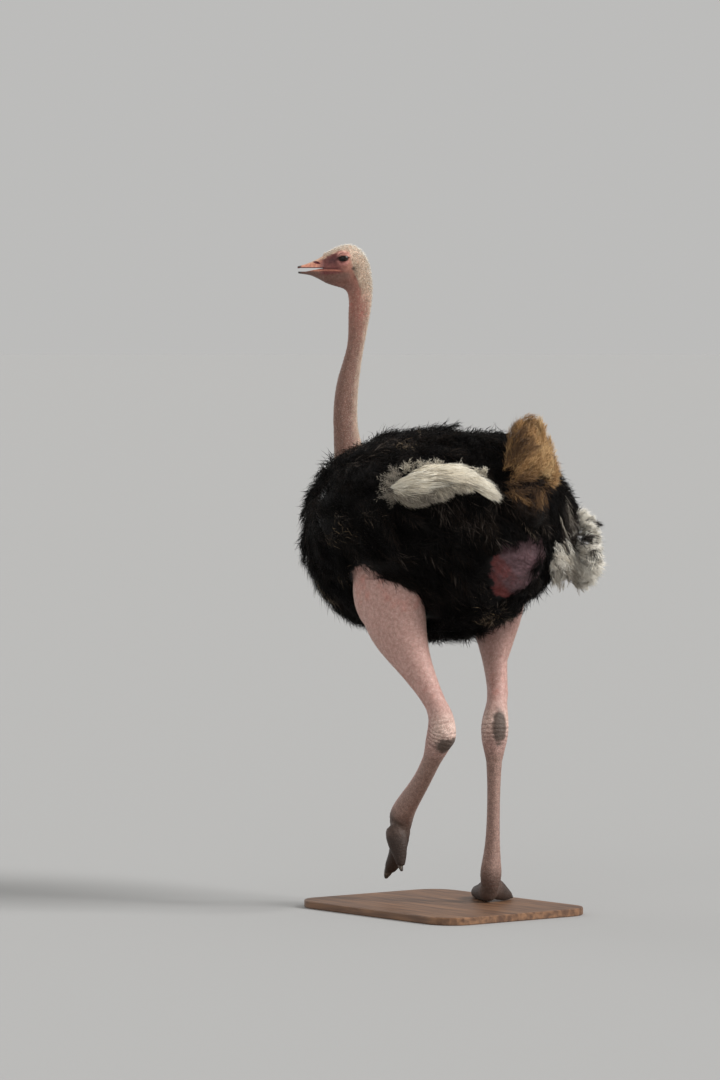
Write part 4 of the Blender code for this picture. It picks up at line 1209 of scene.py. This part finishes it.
def paintLeg(lay, points, normals, name, sign, ofLeg):
    x, y, z = points.T
    line = legLines[name]
    along, centre = onPath(points, line)[:2]
    away = np.linalg.norm(points - centre, axis=1)
    on = ((away < 0.16) & (x * sign > 0.02) & (z < 1.19) & (abs(y) < 0.27)) * 1.0
    on = on * ease(fringe(points), -0.09, -0.05) * ofLeg
    ahead = normals @ legAhead[name]
    ankle, middle = ankleOf(name)
    foot = onPath(line[-1:], line)[0][0]
    lay("thigh", on)
    lay("thighRed", on * ease(wavy(points, 0.05, 74), 0.3, 1.5) * 0.55)
    lay("thighRed", on * ease(z, 0.95, 1.03) * ease(-x * sign, -0.16, -0.08) * 0.7)
    lay("ankle", on * hill(along, middle, 0.07))
    # paler at the back of the ankle, partly paler skin, partly a painted highlight on the heel
    lay("anklePale", on * hill(along, middle - 0.022, 0.045) * ease(-ahead, -0.35, 0.35))
    lay("thighRed", on * hill(along, middle, 0.075) * ease(ahead, 0.1, 0.8) * 0.45)
    lay("tarsus", on * ease(along, middle + 0.035, middle + 0.10))
    # paler plates down the front of the shank, partly their own colour, partly a painted highlight
    lay("scute", on * ease(along, middle + 0.03, middle + 0.10) * ease(ahead, 0.25, 0.65))
    # dark in the creases round the ankle: painted shade
    lay("crease", on * creased(points, along) * hill(along, middle - 0.005, 0.045) * 0.75)
    callus = ankle - legAhead[name] * skinLook["padBehind"][name] + up * skinLook["padAbove"][name]
    pad = np.linalg.norm((points - callus) / skinLook["padSize"][name], axis=1)
    lay("callus", on * (1 - ease(pad + 0.14 * wavy(points, 0.02, 75), 0.72, 1.2)) * 0.95)
    lay("foot", on * ease(along, foot - 0.09, foot - 0.01) * 0.9)
    # dark in the creases round the root of the toes: painted shade
    lay("crease", on * creased(points, along) * hill(along, foot - 0.01, 0.035) * 0.5)
    stubble = on * (1 - ease(along, middle - 0.13, middle - 0.06)) * 0.8
    for path in toeLines[name].values():
        along, centre = onPath(points, path)[:2]
        near = np.linalg.norm(points - centre, axis=1)
        onToe = (1 - ease(near, 0.030, 0.045)) * (z < 0.32) * (x * sign > 0)
        lay("foot", onToe)
        # the raised left foot's toes are painted darker than the standing right one's: painted shade
        lay("toe", onToe * ease(along, 0.0, 0.05) * (0.95 if name == "left" else 0.80))
    lay("sole", on * ease(-normals[:, 2], 0.5, 0.8) * (z < 0.06))
    return stubble


def paintSkin(skin, ofLeg):  # ofLeg: 1 where the skin is a leg's, 0 elsewhere
    points, normals = pointsOf(skin), pointsOf(skin, True)
    z = points[:, 2]
    # all skin starts near black, the painted shade under the plumage
    colour = np.tile(skinLook["under"], (len(points), 1))

    def lay(tone, mask):  # a tone of skinLook by its name, or a colour for each point
        nonlocal colour
        colour = blend(colour, skinLook[tone] if isinstance(tone, str) else tone, mask)

    bare = ease(bareness(points), 0.25, 0.6)
    lay("patchMauve", bare)
    redder = 0.5 * wavy(points, 0.05, 71) + 14 * (0.215 - points @ rearRight) + 8 * (1.07 - z)
    lay("patchRed", bare * ease(redder, -0.3, 0.8))
    stubble = paintHead(lay, points, normals)
    for name, sign in (("left", 1), ("right", -1)):
        stubble = np.maximum(stubble, paintLeg(lay, points, normals, name, sign, ofLeg))
    setTone(skin, colour)
    setFact(skin, "stubble", stubble)
    setFact(skin, "scaly", ease(0.72 - z, 0.0, 0.15))


def skinMaterial():
    material, tree, shader = makeShader("skin")
    where = objectPlace(tree)
    tone, stubble, scaly = factOf(tree, "tone", "Color"), factOf(tree, "stubble"), factOf(tree, "scaly")
    mottle = noiseOf(tree, where, 90, 6, Roughness=0.65)
    cells, pores = (added(tree, "TexVoronoi", Vector=where, Scale=scale).outputs["Distance"]
                    for scale in (230, 260))

    patchy = mixed(tree, scaled(tree, mottle, 0.35, 0.75), (0.72, 0.66, 0.64), (1.22, 1.25, 1.27))
    colour = mixed(tree, 1.0, tone, patchy, "MULTIPLY")
    dots = times(tree, scaled(tree, pores, 0.32, 0.10), stubble)
    colour = mixed(tree, times(tree, dots, 0.55), colour, (0.72, 0.66, 0.58))
    dark = times(tree, scaled(tree, cells, 0.36, 0.60), scaly)
    colour = mixed(tree, times(tree, dark, 0.34), colour, (0.07, 0.045, 0.038))
    rough = added(tree, "MapRange", Value=mottle, To_Min=0.45, To_Max=0.72).outputs["Result"]
    wired(tree, shader, Base_Color=colour, Roughness=rough, Specular_IOR_Level=0.28,
          Subsurface_Weight=0.06, Subsurface_Radius=(0.010, 0.004, 0.003), Subsurface_Scale=1.0)
    grain = times(tree, noiseOf(tree, where, 420, 4), 0.5)
    plates = times(tree, times(tree, cells, -1.4), scaly)
    bumped(tree, shader, calculated(tree, "ADD", grain, plates), 0.6, 0.0012)
    return material


flesh = ["head", "neck_upper", "neck_lower", "trunk", "wing_left", "wing_right",
         *[part + side for side in ("left", "right")
           for part in ("thigh_", "ankle_", "tarsus_", "toe_main_", "toe_outer_")]]


def makeSkin(trunk, neck, legs):
    legTrees = [treeOf(leg) for leg in legs]
    skin = joined("skin", trunk, neck, *legs)
    points = pointsOf(skin)
    y, z = points.T[1:]
    hidden = (z > 1.02) * (y > -0.42) * (fringe(points) < -0.06) * (1 - bareness(points))
    plain = 0.5 * ease(-inHead(points)[2], 0.13, 0.20) * (z > 1.38)
    plain += np.interp(z, *skinLook["spare"])
    thinned(skin, skinLook["kept"], np.maximum(np.maximum(hidden, plain), 0.1))
    points = pointsOf(skin)
    off = np.min([np.linalg.norm(nearest(tree, points)[0] - points, axis=1) for tree in legTrees], axis=0)
    shapedSkin(skin)
    paintSkin(skin, 1 - ease(off, 0.002, 0.005))
    return finished(skin, skinMaterial(), "skin_leg", *flesh)


eyes = {
    "opening": (0.0158, 0.0084, 0.0082),  # half its length, its height above and below the middle
    "lidThick": 0.0017, "lidReach": math.radians(78), "tilt": math.radians(-5),
    "white": (0.050, 0.036, 0.030), "iris": (0.016, 0.009, 0.006), "irisEdge": (0.009, 0.005, 0.004),
    "pupil": (0.003, 0.003, 0.003),
}


def outOfEye(side):
    return headLeft * (1 if side == "left" else -1)


def lidEdge(side, turn):  # a direction from the eye's middle to the edge of its opening
    long, above, below = eyes["opening"]
    ahead, height = long * math.cos(turn), (above if math.sin(turn) > 0 else below) * math.sin(turn)
    ahead, height = (ahead * math.cos(eyes["tilt"]) - height * math.sin(eyes["tilt"]),
                     ahead * math.sin(eyes["tilt"]) + height * math.cos(eyes["tilt"]))
    away = math.sqrt(max(eyeRadius ** 2 - ahead ** 2 - height ** 2, 0))
    return outOfEye(side) * away + headAhead * ahead + up * height


def addLids(bm):  # a shell over each eyeball, open where the eye looks out
    count, thick = 48, eyes["lidThick"]
    # shares of the way out over the eye, and heights above it in thicknesses of the lid
    sections = [(0.0, -1.0), (0.0, 0.7), (0.10, 1.0), (0.45, 0.9), (1.0, 0.4), (1.0, -1.0)]
    for side in eyeMiddles:
        rings = []
        for turn in np.linspace(0, 2 * math.pi, count, endpoint=False):
            edge, gaze = unit(lidEdge(side, turn)), outOfEye(side)
            wide = unit(edge - gaze * (edge @ gaze))
            away = unit(wide - edge * (wide @ edge))
            reach = eyes["lidReach"] - math.acos(edge @ gaze)
            ring = []
            for share, height in sections:
                spot = math.cos(share * reach) * edge + math.sin(share * reach) * away
                ring.append(bm.verts.new(eyeMiddles[side] + spot * (eyeRadius + height * thick)))
            rings.append(ring)
        made = [bm.faces.new((near[j - 1], near[j], far[j], far[j - 1]))
                for near, far in zip(rings[-1:] + rings, rings) for j in range(len(sections))]
        bmesh.ops.recalc_face_normals(bm, faces=made)


def paintedShader(name, roughness, gloss, bumpScale=0, bumpDepth=0.0):
    material, tree, shader = makeShader(name)
    where = objectPlace(tree)
    shades = ramp(tree, noiseOf(tree, where, 160, 5), [(0.3, (0.75, 0.75, 0.75)), (0.7, (1.2, 1.2, 1.2))])
    wired(tree, shader, Base_Color=mixed(tree, 1.0, factOf(tree, "tone", "Color"), shades, "MULTIPLY"),
          Roughness=roughness, Specular_IOR_Level=gloss)
    if bumpScale:
        bumped(tree, shader, noiseOf(tree, where, bumpScale, 4), 0.5, bumpDepth)
    return material


def makeEyes():
    material = paintedShader("eye", 0.05, 0.22)
    for side, middle in eyeMiddles.items():
        bm = bmesh.new()
        bmesh.ops.create_icosphere(bm, subdivisions=5, radius=float(eyeRadius) - 0.0001)
        eye = newObject("eyeBall_" + side, bm)
        points = pointsOf(eye)
        gaze = unit(outOfEye(side) + 0.10 * headAhead)
        opened = np.degrees(np.arccos(np.clip(unit(points) @ gaze, -1, 1)))
        points *= (1 + 0.035 * ease(34 - opened, 0, 20))[:, None]
        setPoints(eye, points + middle)
        tone = np.tile(eyes["white"], (len(points), 1))
        tone = blend(tone, eyes["iris"], ease(36 - opened, 0, 3))
        rims = ease(24 - opened, 0, 5) * 0.6 + ease(opened, 32, 35) * (opened < 37)
        tone = blend(tone, eyes["irisEdge"], rims)
        tone = blend(tone, eyes["pupil"], ease(17 - opened, 0, 2))
        setTone(eye, tone)
        finished(eye, material, "eye", "eye_" + side)


def makeBill():
    material = paintedShader("bill", 0.42, 0.45, 300, 0.0004)
    for name in ("bill_upper", "bill_lower"):
        bill = fused("horn_" + name, shapeOf([name], 0.0004, 2), 0.0011, 3)
        points = pointsOf(bill)
        a = inHead(points)[0]
        points -= pointsOf(bill, True) * (0.0009 * (1 - ease(a, 0.058, 0.0635)))[:, None]
        points -= headAhead * (0.004 * (1 - ease(a, 0.0575, 0.062)))[:, None]
        setPoints(bill, points)
        a, s, h = inHead(points)
        tone = headTone(points)
        if name == "bill_upper":
            # the nostril is sunk in and painted dark red, partly its own colour, partly painted shade in the
            # opening
            slit = np.hypot((a - 0.088) / 0.0125, (h + 0.0120 - 0.25 * (a - 0.088)) / 0.0042)
            tone = blend(tone, skinLook["nostril"], (1 - ease(slit, 0.8, 1.25)) * (abs(s) > 0.008))
            move = 0.0016 * (1 - ease(slit, 0.5, 1.1)) * (abs(s) > 0.006)
            setPoints(bill, points - pointsOf(bill, True) * move[:, None])
            # the lower edge of the upper bill is darker, partly its own colour, partly painted shade over the
            # mouth's gap
            tone = blend(tone, skinLook["mouth"], ease(-h, 0.0255, 0.0285) * ease(a, 0.045, 0.06))
        setTone(bill, tone * (1 + 0.10 * wavy(points, 0.012, 81))[:, None])
        finished(bill, material, "horn_bill", name)


claws = {"dark": (0.050, 0.042, 0.036), "pale": (0.16, 0.13, 0.105)}


def makeClaws():
    material = paintedShader("claw", 0.45, 0.4, 260, 0.0006)
    for side in ("left", "right"):
        for toe in ("main", "outer"):
            name = "claw_%s_%s" % (toe, side)
            claw = fused("horn_" + name, shapeOf([name], 0.0003, 2), 0.0013, 3)
            points = pointsOf(claw)
            if side == "right":
                points[:, 2] = np.maximum(points[:, 2], baseTop + 0.0003)
                setPoints(claw, points)
            tone = np.tile(claws["dark"], (len(points), 1))
            paler = ease(wavy(points * [1, 1, 0.4], 0.010, 82), -0.2, 1.2)
            setTone(claw, blend(tone, claws["pale"], paler))
            finished(claw, material, "horn_claw", name)


def someOf(roots, normals, number, dice):  # at most this many of them
    chosen = np.sort(dice.choice(len(roots), min(number, len(roots)), replace=False))
    return roots[chosen], normals[chosen]


def bristles(roots, normals, ways, lengths, look, dice):  # single spindles, bent from the normal to the way
    count = len(roots)
    first = unit(normals * look["rise"] + ways + dice.normal(0, look["frizz"], (count, 3)))
    second = unit(first * 0.6 + ways * look["bend"] + dice.normal(0, look["frizz"], (count, 3)))
    size = lengths[:, None]
    middle = roots + first * size * 0.5
    tip = middle + second * size * 0.5
    across = unit(np.cross(first, normals))
    thick = np.cross(across, first)
    blade = (look["blade"] * dice.uniform(0.7, 1.3, count))[:, None]
    points = np.stack([roots - normals * 0.0006, middle + across * blade / 2, middle - across * blade / 2,
                       middle + thick * blade * 0.6, tip], 1)
    faces = (np.arange(count)[:, None, None] * 5 + spindleFaces).reshape(-1, 3)
    out = np.tile([0, 0.5, 0.5, 0.5, 1.0], count)
    shade = np.repeat(dice.uniform(0, 1, count) if look.get("shade") is None else look["shade"], 5)
    hands = np.tile([0, 1.0, -1.0, 0, 0], count)
    return {"points": points.reshape(-1, 3), "faces": faces, "out": out, "along": out, "shade": shade,
            "hand": hands, "each": 5}


down = {
    "tones": [(0.0, (0.16, 0.10, 0.07)), (0.35, (0.46, 0.32, 0.22)), (0.7, (0.68, 0.55, 0.42)),
              (1.0, (0.84, 0.79, 0.70))],
    "tipTone": (0.86, 0.82, 0.74), "tipRange": (0.3, 1.4),
    "roughness": 0.7, "sheen": 0.1, "gloss": 0.2,
    "tries": 420000, "number": 21000, "rise": 0.75, "bend": 0.5, "frizz": 0.24, "blade": 0.0009,
    # the edge of the down: above the eye, as places ahead and heights, and behind it, as heights and places
    "edgeAbove": ([-0.018, 0.0016, 0.0266, 0.0445, 0.069], [0.0205, 0.0290, 0.0215, 0.0125, 0.0]),
    "edgeBehind": ([-0.10, -0.068, -0.0436, -0.0186, 0.003, 0.0205],
                   [-0.056, -0.0445, -0.034, -0.027, -0.0234, -0.018]),
}


def crownShare(points):  # 1 where the head and nape carry cream down
    a, _, h = inHead(points)
    above = h - np.interp(a, *down["edgeAbove"])
    behind = np.interp(h, *down["edgeBehind"]) - a
    share = np.maximum(ease(above, -0.004, 0.004) * (a > -0.02), ease(behind, -0.004, 0.006))
    return share * ease(h, -0.16, -0.07)


def makeDown(skin, material):
    dice = np.random.default_rng(25)
    roots, normals = scattered(skin, down["tries"], dice)
    x, y = roots.T[:2]
    h = inHead(roots)[2]
    collar = np.hypot(x - 0.020, y + 0.435) < 0.085
    bald = (y < -0.33) & (h > -0.72) & (collar | (h > -0.60))
    roots, normals, h = roots[bald], normals[bald], h[bald]
    front = normals @ headAhead
    onNeck = ease(-h, 0.09, 0.13)
    want = np.maximum(crownShare(roots), onNeck * (0.15 + 0.55 * ease(-front, -0.2, 0.7)))
    want = np.maximum(want, 0.9 * ease(-h, 0.60, 0.66))
    keep = dice.uniform(0, 1, len(roots)) < want
    roots, normals = someOf(roots[keep], normals[keep], down["number"], dice)
    a, s, h = inHead(roots)
    front, crown = normals @ headAhead, crownShare(roots)
    lengths = 0.0030 + 0.0030 * ease(-front, 0.2, 0.9) + 0.0070 * crown + 0.012 * ease(-h, 0.63, 0.68)
    lengths *= dice.uniform(0.6, 1.35, len(roots))
    back, fall = 0.7 * ease(h, -0.06, 0.0), 1 - 0.8 * ease(h, -0.03, 0.02)
    ways = level(-np.outer(back, headAhead) - np.outer(fall, up), normals)
    shade = np.clip(0.40 + 0.14 * crown + 0.28 * ease(-front, 0.2, 0.9) + 0.36 * ease(h, 0.004, 0.024)
                    + dice.normal(0, 0.14, len(roots)), 0, 1)
    ear = fromEar(a, h, 0.016, 0.020)
    # round the ear the down is painted darker: painted shade about the ear opening
    shade = np.where(ear < 1.2, np.clip(shade - 0.30 * (1.2 - ear), 0, 1), shade)
    lengths = np.where(ear < 1, lengths * 1.3, lengths)
    made = bristles(roots, normals, ways, lengths, {**down, "shade": shade}, dice)
    angle = np.arctan2(s, a + 0.03) / (2 * math.pi) + 0.5
    unwrap = 0.01 + 0.98 * np.stack([angle, (h + 0.75) / 0.85], 1).clip(0, 1)
    addCoat("headDown", made, unwrap, material, "skin_neck")


legHair = {"tries": 120000, "number": 6000, "lengths": (0.002, 0.0055), "rise": 0.35, "bend": 0.8,
           "frizz": 0.15, "blade": 0.0008}


def makeLegBristles(skin, material):
    dice = np.random.default_rng(26)
    roots, normals = scattered(skin, legHair["tries"], dice)
    x, y, z = roots.T
    on = (z < 1.10) & (z > 0.73) & (fringe(roots) > -0.02) & (abs(x) > 0.06) & (abs(y) < 0.24)
    roots, normals = someOf(roots[on], normals[on], legHair["number"], dice)
    ways = level(np.tile(-up, (len(roots), 1)), normals)
    look = {**legHair, "shade": np.clip(dice.normal(0.55, 0.2, len(roots)), 0, 1)}
    made = bristles(roots, normals, ways, dice.uniform(*legHair["lengths"], len(roots)), look, dice)
    angle = np.arctan2(roots[:, 1] - 0.05, abs(roots[:, 0]) - 0.19) / (2 * math.pi) + 0.5
    half = 0.5 * (roots[:, 0] > 0)
    unwrap = 0.005 + 0.99 * np.stack([angle * 0.49 + half, (roots[:, 2] - 0.6) / 0.45], 1).clip(0, 1)
    addCoat("legBristles", made, unwrap, material, "skin_leg")


lashes = {"tone": (0.006, 0.005, 0.005), "number": 30, "from": 18, "to": 162, "lengths": (0.006, 0.009),
          "rise": 1.0, "bend": 0.5, "frizz": 0.10, "blade": 0.0012}


def makeLashes():
    dice = np.random.default_rng(27)
    material, tree, shader = makeShader("lashes")
    wired(tree, shader, Base_Color=lashes["tone"], Roughness=0.5)
    roots, normals, ways = [], [], []
    for side, middle in eyeMiddles.items():
        for turn in np.radians(np.linspace(lashes["from"], lashes["to"], lashes["number"])):
            edge = lidEdge(side, turn)
            out = unit(edge)
            roots.append(middle + out * (eyeRadius + 0.0010))
            normals.append(out)
            ways.append(unit(edge * [1, 1, 0] - outOfEye(side) * (edge @ outOfEye(side))) * 0.5 - up * 0.35)
    count = len(roots)
    roots, normals, ways = (np.array(values) for values in (roots, normals, ways))
    made = bristles(roots, normals, ways, dice.uniform(*lashes["lengths"], count), lashes, dice)
    unwrap = np.stack([np.linspace(0.05, 0.95, count), np.full(count, 0.5)], 1)
    addCoat("lashes", made, unwrap, material, "plumage_black")


studio = {
    "sky": (0.97, 0.965, 0.95), "skyStrength": 0.52, "floor": (0.385, 0.382, 0.375), "floorHalf": 150,
    "lights": {  # where each soft light stands, how strong it is, how wide
        "key": ((-5.0, 9.0, 8.0), 3.3, 22),
        "fill": ((7.0, 5.0, 4.0), 0.6, 60),
        "front": ((2.0, -9.0, 5.0), 0.6, 50),
    },
    "camera": (12.03, 14.966, 1.9753), "lens": 200, "heading": 142, "dip": 2.338,
}


def makeStudio():
    world = bpy.data.worlds.new("studio")
    bpy.context.scene.world = world
    world.use_nodes = True
    wired(world.node_tree, world.node_tree.nodes["Background"], Color=studio["sky"],
          Strength=studio["skyStrength"])
    bm = bmesh.new()
    bmesh.ops.create_grid(bm, x_segments=2, y_segments=2, size=studio["floorHalf"])
    floor = newObject("floor", bm)
    material, tree, shader = makeShader("floor")
    wired(tree, shader, Base_Color=studio["floor"], Roughness=0.85)
    floor.data.materials.append(material)
    for name, (place, power, angle) in studio["lights"].items():
        data = bpy.data.lights.new(name, "SUN")
        data.angle, data.energy = math.radians(angle), power
        lamp = bpy.data.objects.new(name, data)
        bpy.context.collection.objects.link(lamp)
        lamp.location = place
        lamp.rotation_euler = (Vector((0, 0, 1.0)) - Vector(place)).to_track_quat("-Z", "Y").to_euler()
    print("studio", len(studio["lights"]), "lights")


def makeCamera():
    data = bpy.data.cameras.new("camera")
    data.sensor_width, data.lens = 36, studio["lens"]
    data.clip_end = 200
    camera = bpy.data.objects.new("camera", data)
    bpy.context.collection.objects.link(camera)
    camera.location = studio["camera"]
    camera.rotation_euler = (math.radians(90 - studio["dip"]), 0, math.radians(studio["heading"]))
    bpy.context.scene.camera = camera


plinth = {
    "light": (0.23, 0.115, 0.055), "dark": (0.085, 0.038, 0.018), "roughness": 0.52,
    "edge": 0.004, "grain": (9, 0.7, 9),  # its edges' rounding, and how fine its grain is each way
}


def makePlinth():  # the display base, planed and oiled
    bm = shapeOf(["stand_base"])
    flat = [edge for edge in bm.edges if edge.calc_face_angle(0) < math.radians(2)]
    bmesh.ops.dissolve_edges(bm, edges=flat, use_verts=True)
    sharp = [edge for edge in bm.edges if edge.calc_face_angle(0) > math.radians(60)]
    bmesh.ops.bevel(bm, geom=sharp, offset=plinth["edge"], segments=3, affect="EDGES", profile=0.5,
                    material=-1)
    bmesh.ops.triangulate(bm, faces=bm.faces)
    material, tree, shader = makeShader("plinth")
    stretch = added(tree, "Mapping", Vector=objectPlace(tree), Scale=plinth["grain"])
    grain = noiseOf(tree, stretch.outputs["Vector"], 6, 8, Distortion=0.6)
    wired(tree, shader, Base_Color=ramp(tree, grain, [(0.35, plinth["dark"]), (0.68, plinth["light"])]),
          Roughness=plinth["roughness"])
    base = newObject("plinth", bm)
    base.data.materials.append(material)
    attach(base, "root")
    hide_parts("stand_base")
    print("plinth", len(base.data.polygons), "faces")


coat = makeCoatShape()
trunkSkin, neckSkin, legSkins = makeSkinParts(coat)
print("coat and skin shapes made")
makeBodyFeathers(coat, legSkins, featherMaterial("blackPlumage", blackPlumage))
makeTail(featherMaterial("tail", tail))
makeLeftBand(coat, featherMaterial("whiteBand", whiteBand))
makeRightFan(coat, featherMaterial("fan", fan))
skin = makeSkin(trunkSkin, neckSkin, legSkins)
downMaterial = featherMaterial("down", down)
makeDown(skin, downMaterial)
makeLegBristles(skin, downMaterial)
makeEyes()
makeLashes()
makeBill()
makeClaws()
makePlinth()
removed(coat)
makeStudio()
makeCamera()
bpy.context.scene.view_settings.view_transform = "Standard"
